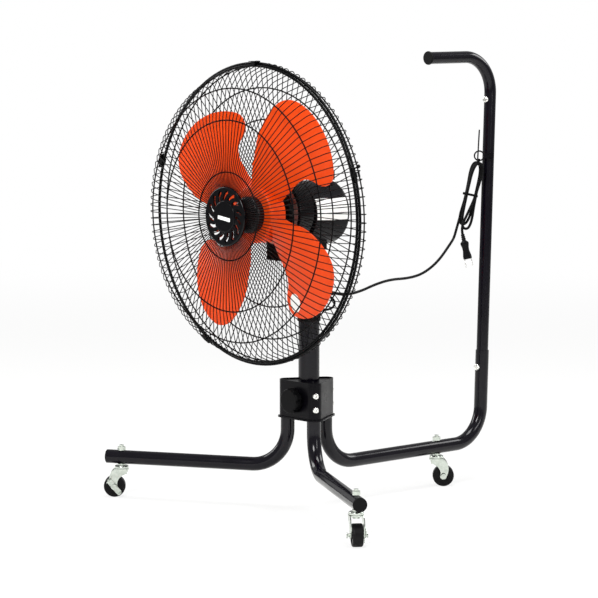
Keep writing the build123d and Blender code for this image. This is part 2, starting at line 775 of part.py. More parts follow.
def box_blank(inset):
    """The switch box's outline, drawn in by a wall thickness."""
    width = 2 * (box_half - inset)
    depth = box_rear - box_front - 2 * inset
    middle = (box_rear + box_front) / 2
    bottom = box_bottom + box_wall
    height = box_top + 10.0 - bottom - inset
    block = Pos(0, middle, bottom + height / 2) * Box(width, depth, height)
    if not inset:
        block = fillet(block.edges().filter_by(Axis.Z), 4.0)
    return block


def switch_box():
    box = box_blank(0.0) - Pos(0, 0, -0.01) * box_blank(box_wall)
    box -= axial(motor_radius + slip, -90, 90)
    box -= axial(rear_cover_radius + slip, motor_split - 0.5, 90, drop=rear_cover_drop)
    box -= axial(plate_radius + 2.0, motor_front - 1.0, box_front - 5.0)
    box -= Pos(box_half, switch_y, switch_z) * Rot(0, 90, 0) * Cylinder(switch_shaft + running_gap, 12)
    return box


def switch_box_lid():
    width = 2 * box_half
    depth = box_rear - box_front
    lid = Pos(0, (box_rear + box_front) / 2, box_bottom + box_wall / 2 - 0.05) * Box(
        width, depth, box_wall - 0.1)
    return fillet(lid.edges().filter_by(Axis.Z), 4.0)


def speed_switch():
    inside = box_half - box_wall - 0.3
    body = Pos(inside - 8.0, switch_y, switch_z) * Box(16.0, 22.0, 18.0)
    return body - Pos(inside - 8.0, switch_y, switch_z) * Rot(0, 90, 0) * Cylinder(
        switch_shaft + running_gap, 17)


def speed_knob():
    seat = box_half + face_gap
    grip = lobed_knob(switch_knob_radius, switch_knob_length, 10)
    knob = Plane(origin=(seat, switch_y, switch_z), x_dir=(0, 1, 0), z_dir=(1, 0, 0)).location * grip
    tip = box_half - box_wall - 15.0
    shaft = Pos((seat + tip) / 2, switch_y, switch_z) * Rot(0, 90, 0) * Cylinder(switch_shaft, seat - tip)
    return knob + shaft


def capacitor():
    left = -(box_half - box_wall - 0.3)
    block = Pos(left + 9.0, (box_front + box_rear) / 2, box_bottom + box_wall + 9.5) * Box(18, 40, 18)
    return fillet(block.edges(), 2.0)


def bent_wire(points, radii, radius):
    """A wire along a bent line in the plane of the fan's axis."""
    route = FilletPolyline(*[(r, 0, d) for r, d in points], radius=radii)
    return sweep(Plane(origin=route @ 0, z_dir=route % 0) * Circle(radius), path=route)


def around(solid, count):
    """Copies of a solid about the fan's axis, with a gap at the top."""
    pitch = 360.0 / count
    place = on_fan_axis().location
    return [place * Rot(0, 0, 90.0 + (step + 0.5) * pitch) * solid for step in range(count)]


def hoop(radius, depth, thickness):
    return on_fan_axis().location * Pos(0, 0, depth) * Torus(radius, thickness)


def ring_inside(points, bends, index):
    """Radius and depth of a ring laid inside a wire's corner."""
    before, here, after = (Vector(*points[index + step]) for step in (-1, 0, 1))
    into, out = (here - before).normalized(), (after - here).normalized()
    turn = math.radians(into.get_angle(out))
    sagitta = bends[index - 1] * (1 / math.cos(turn / 2) - 1)
    place = here + (out - into).normalized() * (sagitta + wire + ring_wire + weld_gap)
    return place.X, place.Y


def front_wire_route():
    start = (rim_radius - rim_step, rim_stagger + rim_wire + front_wire_gap)
    return [start, front_bulge, front_shoulder, front_face, front_inner, front_wire_end]


def front_guard():
    one = bent_wire(front_wire_route(), list(front_bends), wire)
    return Compound(children=around(one, front_wire_count))


def front_guard_rings():
    rings = [hoop(rim_radius - rim_step, rim_stagger, rim_wire)]
    for corner in (2, 3, 4):
        rings.append(hoop(*ring_inside(front_wire_route(), front_bends, corner), ring_wire))
    return Compound(children=rings)


def rear_guard():
    rear_rim = rim_radius + rim_step
    start = (rear_rim, -(rim_stagger + rim_wire + rear_wire_gap))
    points = [start, (rear_rim + 1.0, rear_wall_back), rear_shoulder, rear_face, rear_wire_end]
    return Compound(children=around(bent_wire(points, list(rear_bends), wire), rear_wire_count))


def rear_guard_rings():
    """Rings of the rear guard and its middle plate."""
    rear_rim = rim_radius + rim_step
    inset = wire + ring_wire + weld_gap
    rings = [hoop(rear_rim, -rim_stagger, rim_wire)]
    rings.append(hoop(rear_rim + rear_hoop_out - inset, rear_hoop_depth, ring_wire))
    rings.append(hoop(rear_shoulder[0], rear_shoulder[1] + inset * 1.014, ring_wire))
    rings.append(hoop(rear_face[0], rear_face[1] + inset * 1.014, ring_wire))
    plate = Cylinder(plate_radius, guard_plate_sheet) - Cylinder(plate_bore, guard_plate_sheet)
    plate = on_fan_axis().location * Pos(0, 0, plate_face() - guard_plate_sheet / 2) * plate
    return Compound(children=rings + [plate])


def plate_face():
    """Depth of the rear guard's middle plate, in front, just behind the wires' ends."""
    return rear_wire_end[1] - wire - 0.1


def guard_plate_front_y():
    return rim_y - plate_face()


def guard_nut():
    """Ring nut that clamps the rear guard's plate to the motor's boss."""
    back = guard_plate_front_y() - washer_sheet - 0.1
    nut = axial(nut_radius, back, back - nut_length, guard_neck_radius + 0.1)
    nut = fillet(nut.edges().sort_by(Axis.Y)[0], 2.0)
    for step in range(12):
        x, z, _ = polar(30.0 * step, nut_radius + 1.0)
        nut -= Pos(x, back - nut_length / 2, fan_height + z) * Rot(90, 0, 0) * Cylinder(3.6, 2 * nut_length)
    return nut


def badge_slot():
    """One slot, curved like a swirl between the disc and the rim."""
    inner = badge_disc_radius + 2.0
    outer = badge_radius - badge_rim
    start = polar(0.0, inner)[:2]
    end = polar(-badge_slot_sweep, outer)[:2]
    middle = polar(-badge_slot_sweep * 0.36, (inner + outer) / 2)[:2]
    line = ThreePointArc(start, middle, end)
    return trace(line, line_width=badge_slot_width)


def front_badge():
    thickness = badge_front - badge_back
    disc = Cylinder(badge_radius, thickness, align=(Align.CENTER, Align.CENTER, Align.MIN))
    disc = fillet(disc.edges().group_by(Axis.Z)[-1], 2.0)
    slot = extrude(badge_slot(), 2 * thickness, both=True)
    for step in range(badge_slot_count):
        disc -= Rot(0, 0, 360.0 * step / badge_slot_count) * slot
    boss = Cylinder(badge_disc_radius, 1.6, align=(Align.CENTER, Align.CENTER, Align.MIN))
    boss = fillet(boss.edges().group_by(Axis.Z)[-1], 1.0)
    disc += Pos(0, 0, thickness - 0.2) * boss
    return on_fan_axis().location * Pos(0, 0, badge_back) * disc


def clip_profile():
    """Section of a clip: a sleeve round the rear rim ring and a finger over the front one."""
    bore = rim_wire + clip_bore_gap
    outer = bore + clip_sheet
    hook = 2 * rim_stagger + rim_wire + clip_bore_gap
    section = Circle(outer)
    section += Pos(bore, 0) * Rectangle(clip_sheet, hook + clip_sheet, align=(Align.MIN, Align.MIN))
    section += Pos(-2 * rim_step, hook) * Rectangle(
        2 * rim_step + outer, clip_sheet, align=(Align.MIN, Align.MIN))
    section += Pos(outer + clip_lump * 0.35, -outer * 1.2) * Circle(clip_lump)
    mouth = Pos(-0.4, -clip_mouth) * Rectangle(2 * outer, clip_mouth + hook, align=(Align.MAX, Align.MIN))
    return section - Circle(bore) - mouth


def guard_clip(step):
    body = extrude(Plane.XZ * clip_profile(), clip_width / 2, both=True)
    place = on_fan_axis().location * Rot(0, 0, clip_angles[step])
    return place * Pos(rim_radius + rim_step, 0, -rim_stagger) * body


# a blade seen along the axis: radius and angle of its edge, forward edge first
blade_forward_edge = ((48, 88), (90, 87.5), (117, 84.5), (140, 83), (162, 80), (187, 76), (216, 69.5))
blade_tip = ((227, 64), (231, 57), (229, 48.5), (221, 40), (209, 32), (197, 26))
blade_rear_edge = ((185, 21.8), (168, 20.2), (154, 21.5), (144, 25.8), (131, 30.5), (109, 32.5),
                   (84, 31), (48, 27))


def blade():
    """One blade: its outline cut from a thin twisted sheet."""
    points = [polar(angle, radius)[:2] for radius, angle in
              blade_forward_edge + blade_tip + blade_rear_edge]
    edge = Spline(*points[1:-1])
    back = Polyline(points[-2], points[-1], points[0], points[1])
    outline = make_face(Wire([edge, *back.edges()]))
    column = extrude(outline, 60, both=True)
    column -= Pos(0, 0, hub_front + 30.0) * Cylinder(hub_radius + 0.3, 60.0)
    sections = []
    steps = 9
    first, last = 12.0, 98.0
    for step in range(steps):
        angle = first + (last - first) * step / (steps - 1)
        share = (angle - 20.0) / 64.0
        depth = blade_rear + (blade_front - blade_rear) * (
            share + blade_camber * math.sin(math.pi * share))
        frame = Plane(origin=(0, 0, 0), x_dir=polar(angle, 1.0), z_dir=polar(angle + 90.0, 1.0))
        section = Pos(blade_mid, -depth) * Rectangle(blade_span, blade_sheet)
        sections.append(frame * section)
    sheet = loft(sections)
    return column & sheet


def blade_set():
    """The moulded propeller: hub and blades in one piece."""
    length = hub_front - hub_back
    hub = Pos(0, 0, (hub_front + hub_back) / 2) * Cylinder(hub_radius, length)
    hub = fillet(hub.edges().group_by(Axis.Z)[-1], hub_round)
    one = blade()
    for step in range(blade_count):
        hub += Rot(0, 0, blade_phase + 360.0 * step / blade_count) * one
    hollow = Cylinder(hub_radius - hub_wall, length) - Cylinder(shaft_radius + hub_bore_wall, length)
    hub -= Pos(0, 0, (hub_front + hub_back) / 2 - hub_wall) * hollow
    hub -= Cylinder(shaft_radius, 4 * length)
    return on_fan_axis().location * hub


def spinner_cap():
    bottom = Align.CENTER, Align.CENTER, Align.MIN
    length = spinner_front - hub_front
    cap = Cylinder(spinner_radius, length, align=bottom)
    cap = fillet(cap.edges().group_by(Axis.Z)[-1], spinner_round)
    cap -= Cylinder(spinner_radius - spinner_wall, length - spinner_wall, align=bottom)
    cap += Cylinder(shaft_radius + 4.0, length - 1.0, align=bottom)
    cap -= Cylinder(shaft_radius, length - spinner_wall - 1.0, align=bottom)
    return on_fan_axis().location * Pos(0, 0, hub_front + 0.1) * cap


def post_point(height, outward, along):
    """A point beside the post: outward from its axis and along the hook's plate."""
    turn = math.radians(hook_turn)
    return (outward * math.cos(turn) - along * math.sin(turn),
            post_y(height) + outward * math.sin(turn) + along * math.cos(turn), height)


def cord_hook():
    """Eye on a small plate, screwed to the post on a spacer."""
    facing = (math.cos(math.radians(hook_turn)), math.sin(math.radians(hook_turn)), 0)
    sideways = (-facing[1], facing[0], 0)
    frame = Plane(origin=(0, post_y(hook_height), hook_height), x_dir=sideways, z_dir=facing).location
    plate = Pos(-0.5, 0, hook_stand_off) * Box(19.0, 9.0, 2.4)
    spacer = Pos(3.0, 0, (post_radius() - 1.5 + hook_stand_off) / 2) * Cylinder(
        5.5, hook_stand_off - post_radius() + 1.5)
    head = Pos(3.0, 0, hook_stand_off + 1.2 + 1.3) * Cylinder(4.2, 2.6)
    eye = Pos(hook_shift, 0, hook_stand_off) * Torus(eye_radius, eye_wire)
    hook = frame * (plate + spacer + head + eye)
    post = lean_frame(hook_height - 40).location * Cylinder(
        post_radius() + 0.05, 80, align=(Align.CENTER, Align.CENTER, Align.MIN))
    return hook - post


def tube_along(points, radii, radius):
    route = FilletPolyline(*points, radius=radii)
    body = sweep(Plane(origin=route @ 0, z_dir=route % 0) * Circle(radius), path=route)
    return body, route.length


def smooth_radii(points, share=0.45):
    """Largest even bends: a share of the shorter run over the tangent of half the turn."""
    radii = []
    for before, here, after in zip(points, points[1:], points[2:]):
        into = Vector(*here) - Vector(*before)
        out = Vector(*after) - Vector(*here)
        half = math.radians(into.get_angle(out)) / 2
        radii.append(share * min(into.length, out.length) / math.tan(half))
    return radii


def above_glands(points):
    return [(x, y, gland_height + rise) for x, y, rise in points]


def swing_lead():
    """Short lead that loops from the neck casting back into its narrow part."""
    start = polar(lead_angle, housing_radius + 0.1 + 3.2, gland_height)
    mouth = polar(lead_angle, housing_radius + 15.0, gland_height)
    before_end = polar(lead_end_angle, neck_radius + 14.0, lead_end_height)
    end = polar(lead_end_angle, neck_radius - 3.0, lead_end_height)
    points = [start, mouth, *above_glands(lead_points), before_end, end]
    radii = smooth_radii(points)
    body, length = tube_along(points, radii, lead_radius)
    print("swing_lead length", round(length, 1), "radii", [round(r, 1) for r in radii])
    return body


# --- hank hung from the hook's eye: loops side by side in depth ---
hank_loop_count = 3
hank_layer = 5.6             # from one loop to the next
hank_fold = 10.0             # half a fold's width, on the cord's axis
hank_waist = 8.6             # half the width where it is tied
hank_length = 124.0
hank_slant = 12.5
hank_drop = 0.6              # gap between the eye and the folds
plug_turn = 24.8             # the plug hangs upright, so it is turned in the hank's frame
lead_run = 14.0
tie_wall = 1.1
tie_width = 3.2


def facing_vectors():
    facing = Vector(math.cos(math.radians(hook_turn)), math.sin(math.radians(hook_turn)), 0)
    return facing, Vector(-facing.Y, facing.X, 0)


def hank_frame():
    """Frame of the hank: X across, Y up along its runs and Z out from the post."""
    _, sideways = facing_vectors()
    slant = math.radians(hank_slant)
    across = sideways * math.cos(slant) - Vector(0, 0, math.sin(slant))
    up = Vector(0, 0, math.cos(slant)) + sideways * math.sin(slant)
    top = Vector(*post_point(hook_height, hook_stand_off, hook_shift - 1.5)) - Vector(
        0, 0, eye_radius + eye_wire + cord_radius + hank_drop)
    return Plane(origin=top, x_dir=across, z_dir=across.cross(up))


def in_hank(point):
    frame = hank_frame()
    return frame.origin + frame.x_dir * point[0] + frame.y_dir * point[1] + frame.z_dir * point[2]


def hank_corners():
    """Corners of the hank's route in its own frame: up the left side, down the right."""
    low = -hank_length
    first = -hank_layer * (hank_loop_count - 1) / 2
    corners = [(-hank_fold - 2.0, low - 9.0, first - hank_layer / 2)]
    for loop in range(hank_loop_count):
        layer = first + hank_layer * loop
        corners.append((-hank_waist, low / 2, layer - hank_layer / 4))
        corners.append((-hank_fold, 0.0, layer))
        corners.append((hank_fold, 0.0, layer))
        corners.append((hank_waist, low / 2, layer + hank_layer / 4))
        if loop < hank_loop_count - 1:
            corners.append((hank_fold, low, layer + hank_layer / 2))
            corners.append((-hank_fold, low, layer + hank_layer / 2))
    front = first + hank_layer * (hank_loop_count - 0.5)
    turn = math.radians(plug_turn)
    corners.append((1.0, low + 27.0, front + 1.0))
    corners.append((-5.6, low - 1.0, front + 1.6))
    corners.append((-5.6 + lead_run * math.sin(turn), low - 1.0 - lead_run * math.cos(turn), front + 1.6))
    return corners


def hank_radii(corners):
    radii = []
    for before, here, after in zip(corners, corners[1:], corners[2:]):
        into = Vector(*here) - Vector(*before)
        out = Vector(*after) - Vector(*here)
        half = math.radians(into.get_angle(out)) / 2
        shorter = min(into.length, out.length)
        share = 0.497 if math.degrees(half) > 35 else 0.45
        radii.append(share * shorter / math.tan(half))
    return radii


def least_gap(route, length):
    """Least gap between stretches of the tube that lie over three diameters apart along it."""
    count = 600
    points = [route @ (step / count) for step in range(count + 1)]
    places = [(point.X, point.Y, point.Z) for point in points]
    apart = int(6 * cord_radius / length * count) + 1
    least = min(math.dist(places[first], places[second])
                for first in range(len(places)) for second in range(first + apart, len(places)))
    return least - 2 * cord_radius


def cord_hank():
    corners = [tuple(in_hank(corner)) for corner in hank_corners()]
    radii = hank_radii(corners)
    body, length = tube_along(corners, radii, cord_radius)
    print("cord_hank length", round(length, 1), "radii", [round(r, 1) for r in radii])
    route = FilletPolyline(*corners, radius=radii)
    print("cord_hank least gap to itself", round(least_gap(route, length), 2))
    print("cord_hank volume ratio", round(body.volume / (math.pi * cord_radius ** 2 * length), 4))
    return body


def power_cord():
    start = polar(gland_angle, housing_radius + 0.1 + gland_length - 8.0, gland_height)
    mouth = polar(gland_angle, housing_radius + gland_length + 12.0, gland_height)
    first, second = (in_hank(corner) for corner in hank_corners()[:2])
    back = first - (second - first).normalized() * 17.0
    points = [start, mouth, *above_glands(cord_points), tuple(back), tuple(first)]
    radii = smooth_radii(points)
    body, length = tube_along(points, radii, cord_radius)
    print("power_cord length", round(length, 1), "radii", [round(r, 1) for r in radii])
    print("power_cord volume ratio", round(body.volume / (math.pi * cord_radius ** 2 * length), 4))
    return body


def cord_tie():
    """Cable tie through the eye and round the top folds, and a second one round the waist."""
    depth = hank_layer * (hank_loop_count - 1) / 2 + cord_radius + 0.5
    bottom = -cord_radius - 0.4
    top = cord_radius + hank_drop + 2 * eye_wire + 0.9
    outline = RectangleRounded(2 * (depth + tie_wall), top - bottom + 2 * tie_wall, 2.6)
    outline -= RectangleRounded(2 * depth, top - bottom, 1.6)
    band = extrude(outline, tie_width / 2, both=True)
    band = Pos(0, (top + bottom) / 2, 0) * Rot(0, 90, 0) * band
    face = depth + tie_wall
    head = Pos(-0.8, 1.0, face + 1.6) * Box(5.0, 5.0, 3.6)
    place = hank_frame().location
    upper = place * (band + head)
    root = in_hank((-2.6, 1.0, face + 2.0))
    facing, sideways = facing_vectors()
    tail_up = (Vector(0, 0, 1) + sideways * 0.05).normalized()
    tail = Plane(origin=root, x_dir=sideways, z_dir=tail_up).location * Box(
        2.6, 1.1, 62.0, align=(Align.CENTER, Align.CENTER, Align.MIN))
    wide = hank_waist + cord_radius + 0.5
    deep = depth + hank_layer / 4
    loop = RectangleRounded(2 * (wide + tie_wall), 2 * (deep + tie_wall), 3.4)
    loop -= RectangleRounded(2 * wide, 2 * deep, 2.3)
    waist = Pos(0, -hank_length / 2, 0) * Rot(90, 0, 0) * extrude(loop, tie_width / 2, both=True)
    waist += Pos(-wide - tie_wall - 1.4, -hank_length / 2, 2.0) * Box(3.6, 4.6, 4.6)
    return Compound(children=[upper + tail, place * waist])


def power_plug():
    """Flat two-pin plug with its moulded neck, hanging under the hank."""
    end, before = (Vector(*corner) for corner in hank_corners()[-1:-3:-1])
    turn = math.degrees(math.atan2((end - before).X, -(end - before).Y))
    neck = Pos(0, -7.5 - 0.05, 0) * Rot(90, 0, 0) * Cone(cord_radius + 1.6, cord_radius + 0.6, 15.0)
    body = loft([Pos(0, -14.5, 0) * (Plane.XZ * RectangleRounded(12.5, 8.6, 3.0)),
                 Pos(0, -48.0, 0) * (Plane.XZ * RectangleRounded(16.5, 10.0, 3.2))])
    pins = Pos(-6.35, -55.5, 0) * Box(1.5, 15.2, 6.3) + Pos(6.35, -55.5, 0) * Box(1.5, 15.2, 6.3)
    return hank_frame().location * Pos(*end) * Rot(0, 0, turn) * (neck + body + pins)


def build_all():
    nodes = {
        "stand_bracket": Compound(children=[bracket_sleeve()] + bracket_plates()),
        "stand_screws": Compound(children=bracket_screws() + handle_screws()),
        "rear_leg": rear_leg(),
        "tube_end_caps": tube_end_caps(),
        "handle_post": handle_post(),
        "handle_grip": handle_grip(),
        "caster_stems": caster_stems(),
        "mast": mast(),
        "mast_collar": mast_collar(),
        "neck_housing": neck_housing(),
        "cord_glands": cord_glands(),
        "cord_hook": cord_hook(),
        "lock_knob": lock_knob(),
        "swing_yoke": swing_yoke(),
        "motor_foot": motor_foot(),
        "tilt_knob": tilt_knob(),
        "motor_front_cover": motor_front_cover(),
        "motor_rear_cover": motor_rear_cover(),
        "guard_washer": guard_washer(),
        "stator": stator(),
        "windings": windings(),
        "motor_bearings": motor_bearings(),
        "motor_shaft": motor_shaft(),
        "rotor_core": rotor_core(),
        "worm_wheel": worm_wheel(),
        "swing_knob": swing_knob(),
        "switch_box": switch_box(),
        "switch_box_lid": switch_box_lid(),
        "speed_switch": speed_switch(),
        "speed_knob": speed_knob(),
        "capacitor": capacitor(),
        "rear_guard": rear_guard(),
        "rear_guard_rings": rear_guard_rings(),
        "guard_nut": guard_nut(),
        "front_guard": front_guard(),
        "front_guard_rings": front_guard_rings(),
        "front_badge": front_badge(),
        "blade_set": blade_set(),
        "spinner_cap": spinner_cap(),
        "swing_lead": swing_lead(),
        "power_cord": power_cord(),
        "cord_hank": cord_hank(),
        "cord_tie": cord_tie(),
        "power_plug": power_plug(),
    }
    for side, angle in front_leg_angles.items():
        nodes["front_leg_" + side] = front_leg(angle)
    for name in caster_places:
        nodes["caster_" + name + "_fork"] = caster_fork(name)
        nodes["caster_" + name + "_wheel"] = caster_wheel(name)
        nodes["caster_" + name + "_brake"] = caster_brake(name)
    for step in range(len(clip_angles)):
        nodes["guard_clip_" + str(step + 1)] = guard_clip(step)
    return nodes


os.makedirs("parts", exist_ok=True)
for node, shape in build_all().items():
    export_step(shape, "parts/" + node + ".step")
    print(node)
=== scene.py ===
import bpy
import bmesh
import math
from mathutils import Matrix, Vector
from mathutils.bvhtree import BVHTree


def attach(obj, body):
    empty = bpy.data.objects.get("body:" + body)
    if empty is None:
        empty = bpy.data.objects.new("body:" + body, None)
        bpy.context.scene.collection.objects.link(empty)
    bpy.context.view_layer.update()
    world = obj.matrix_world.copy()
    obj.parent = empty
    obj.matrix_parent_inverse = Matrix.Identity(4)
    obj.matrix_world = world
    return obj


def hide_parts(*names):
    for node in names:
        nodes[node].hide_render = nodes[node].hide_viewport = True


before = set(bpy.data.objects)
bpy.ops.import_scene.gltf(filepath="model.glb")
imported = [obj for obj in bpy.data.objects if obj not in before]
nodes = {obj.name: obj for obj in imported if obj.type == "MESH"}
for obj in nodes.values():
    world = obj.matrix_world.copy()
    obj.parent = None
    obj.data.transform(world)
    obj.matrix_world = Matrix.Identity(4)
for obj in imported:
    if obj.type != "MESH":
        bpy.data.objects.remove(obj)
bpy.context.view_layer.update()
print("frame loaded:", len(nodes), "nodes")

# metres, same frame as the CAD: floor at z 0, mast on the z axis, fan blows to -y
fanHeight = 0.540


def toLinear(hexText):
    parts = [int(hexText[i:i + 2], 16) / 255 for i in (1, 3, 5)]
    return tuple(c / 12.92 if c <= 0.04045 else ((c + 0.055) / 1.055) ** 2.4 for c in parts) + (1.0,)


def addNode(tree, kind, settings=None, links=None):
    node = tree.nodes.new(kind)
    for key, value in (settings or {}).items():
        if isinstance(key, int) or key in node.inputs:
            node.inputs[key].default_value = value
        else:
            setattr(node, key, value)
    for key, source in (links or {}).items():
        tree.links.new(source, node.inputs[key])
    return node


def startMaterial(name):
    material = bpy.data.materials.new(name)
    material.use_nodes = True
    tree = material.node_tree
    tree.nodes.clear()
    return material, tree, addNode(tree, "ShaderNodeTexCoord").outputs["Object"]


# the camera stands where the photograph was taken from
studio = {
    "cameraAzimuth": 47.28, "cameraDistance": 5.1488, "cameraHeight": 0.9566,
    "heading": 47.48, "pitchDown": 6.39, "focal": 173.16, "sensorWidth": 36, "viewEnd": 60,
    "floorHalf": 14.0, "floorHex": "#F2F2F0",
    # how white the floor looks near the fan, and from where to where it goes over to pure white
    "whiteLeast": 0.8, "whiteNear": 1.0, "whiteFar": 4.5,
    # the room's light on the fan, and how bright the room shows in what is glossy
    "roomLight": 0.27, "roomInGloss": 0.28,
}


def aim(obj, place, target):
    obj.location = place
    obj.rotation_euler = (Vector(target) - Vector(place)).to_track_quat("-Z", "Y").to_euler()


lens = bpy.data.cameras.new("photo_camera")
lens.lens = studio["focal"]
lens.sensor_width = studio["sensorWidth"]
lens.clip_end = studio["viewEnd"]
camera = bpy.data.objects.new("photo_camera", lens)
bpy.context.scene.collection.objects.link(camera)
azimuth, heading = math.radians(studio["cameraAzimuth"]), math.radians(studio["heading"])
down = math.radians(studio["pitchDown"])
stand = Vector((studio["cameraDistance"] * math.sin(azimuth), -studio["cameraDistance"] * math.cos(azimuth),
                studio["cameraHeight"]))
aim(camera, stand, stand + Vector((-math.sin(heading) * math.cos(down), math.cos(heading) * math.cos(down),
                                   -math.sin(down))))
bpy.context.scene.camera = camera
print("camera placed")


def glossyPowderCoat(name, baseHex, liftHex, roughness, specular):
    # polyester powder coat on steel: dark and glossy, with clouds 45 mm across in the gloss
    # and an orange peel 1.6 mm across
    material, tree, place = startMaterial(name)
    cloud = addNode(tree, "ShaderNodeTexNoise", {"Scale": 1 / 0.045, "Detail": 3.0}, {"Vector": place})
    peel = addNode(tree, "ShaderNodeTexNoise", {"Scale": 1 / 0.0016, "Detail": 1.5}, {"Vector": place})
    colour = addNode(tree, "ShaderNodeMix", {"data_type": "RGBA", 6: toLinear(baseHex), 7: toLinear(liftHex)},
                     {0: cloud.outputs["Fac"]})
    gloss = addNode(tree, "ShaderNodeMapRange", {"From Min": 0.3, "From Max": 0.7, "To Min": roughness - 0.03,
                    "To Max": roughness + 0.05}, {"Value": cloud.outputs["Fac"]})
    skin = addNode(tree, "ShaderNodeBump", {"Strength": 0.22, "Distance": 0.00003},
                   {"Height": peel.outputs["Fac"]})
    shader = addNode(tree, "ShaderNodeBsdfPrincipled", {"Metallic": 0.0, "Specular IOR Level": specular},
                     {"Base Color": colour.outputs[2], "Roughness": gloss.outputs[0],
                      "Normal": skin.outputs[0]})
    addNode(tree, "ShaderNodeOutputMaterial", None, {"Surface": shader.outputs[0]})
    return material


def mouldedPlastic(name, baseHex, liftHex, roughness, specular, depth=0.00004, strength=0.25):
    # injection-moulded plastic: even colour, with sink marks 30 mm across in the gloss
    # and a spark-eroded grain drawn at 0.9 mm so that it shows
    material, tree, place = startMaterial(name)
    slow = addNode(tree, "ShaderNodeTexNoise", {"Scale": 1 / 0.03, "Detail": 2.0}, {"Vector": place})
    fine = addNode(tree, "ShaderNodeTexNoise", {"Scale": 1 / 0.0009, "Detail": 2.0}, {"Vector": place})
    colour = addNode(tree, "ShaderNodeMix", {"data_type": "RGBA", 6: toLinear(baseHex), 7: toLinear(liftHex)},
                     {0: slow.outputs["Fac"]})
    gloss = addNode(tree, "ShaderNodeMapRange", {"From Min": 0.3, "From Max": 0.7, "To Min": roughness - 0.04,
                    "To Max": roughness + 0.04}, {"Value": slow.outputs["Fac"]})
    skin = addNode(tree, "ShaderNodeBump", {"Strength": strength, "Distance": depth},
                   {"Height": fine.outputs["Fac"]})
    shader = addNode(tree, "ShaderNodeBsdfPrincipled", {"Metallic": 0.0, "Specular IOR Level": specular},
                     {"Base Color": colour.outputs[2], "Roughness": gloss.outputs[0],
                      "Normal": skin.outputs[0]})
    addNode(tree, "ShaderNodeOutputMaterial", None, {"Surface": shader.outputs[0]})
    return material


def brightMetal(name, baseHex, shadeHex, roughness, cloudSize=0.006):
    # zinc or nickel plate, spun aluminium or ground steel: pale, cloudy in patches, with fine marks
    # drawn 1.2 mm apart so that they show
    material, tree, place = startMaterial(name)
    cloud = addNode(tree, "ShaderNodeTexNoise", {"Scale": 1 / cloudSize, "Detail": 3.0}, {"Vector": place})
    marks = addNode(tree, "ShaderNodeTexNoise", {"Scale": 1 / 0.0012, "Detail": 4.0}, {"Vector": place})
    colour = addNode(tree, "ShaderNodeMix",
                     {"data_type": "RGBA", 6: toLinear(baseHex), 7: toLinear(shadeHex)},
                     {0: cloud.outputs["Fac"]})
    gloss = addNode(tree, "ShaderNodeMapRange", {"From Min": 0.3, "From Max": 0.7, "To Min": roughness - 0.05,
                    "To Max": roughness + 0.09}, {"Value": marks.outputs["Fac"]})
    skin = addNode(tree, "ShaderNodeBump", {"Strength": 0.3, "Distance": 0.00003},
                   {"Height": marks.outputs["Fac"]})
    shader = addNode(tree, "ShaderNodeBsdfPrincipled", {"Metallic": 1.0},
                     {"Base Color": colour.outputs[2], "Roughness": gloss.outputs[0],
                      "Normal": skin.outputs[0]})
    addNode(tree, "ShaderNodeOutputMaterial", None, {"Surface": shader.outputs[0]})
    return material


def softRubber(name, baseHex, liftHex, roughness, specular, grain=0.0012):
    # rubber or soft PVC: matt, a little dusty in patches 12 mm across, with a soft pebble
    material, tree, place = startMaterial(name)
    dust = addNode(tree, "ShaderNodeTexNoise", {"Scale": 1 / 0.012, "Detail": 4.0, "Roughness": 0.6},
                   {"Vector": place})
    pebble = addNode(tree, "ShaderNodeTexNoise", {"Scale": 1 / grain, "Detail": 3.0}, {"Vector": place})
    colour = addNode(tree, "ShaderNodeMix", {"data_type": "RGBA", 6: toLinear(baseHex), 7: toLinear(liftHex)},
                     {0: dust.outputs["Fac"]})
    gloss = addNode(tree, "ShaderNodeMapRange", {"From Min": 0.3, "From Max": 0.7, "To Min": roughness - 0.06,
                    "To Max": roughness + 0.08}, {"Value": dust.outputs["Fac"]})
    skin = addNode(tree, "ShaderNodeBump", {"Strength": 0.35, "Distance": 0.00008},
                   {"Height": pebble.outputs["Fac"]})
    shader = addNode(tree, "ShaderNodeBsdfPrincipled", {"Metallic": 0.0, "Specular IOR Level": specular},
                     {"Base Color": colour.outputs[2], "Roughness": gloss.outputs[0],
                      "Normal": skin.outputs[0]})
    addNode(tree, "ShaderNodeOutputMaterial", None, {"Surface": shader.outputs[0]})
    return material


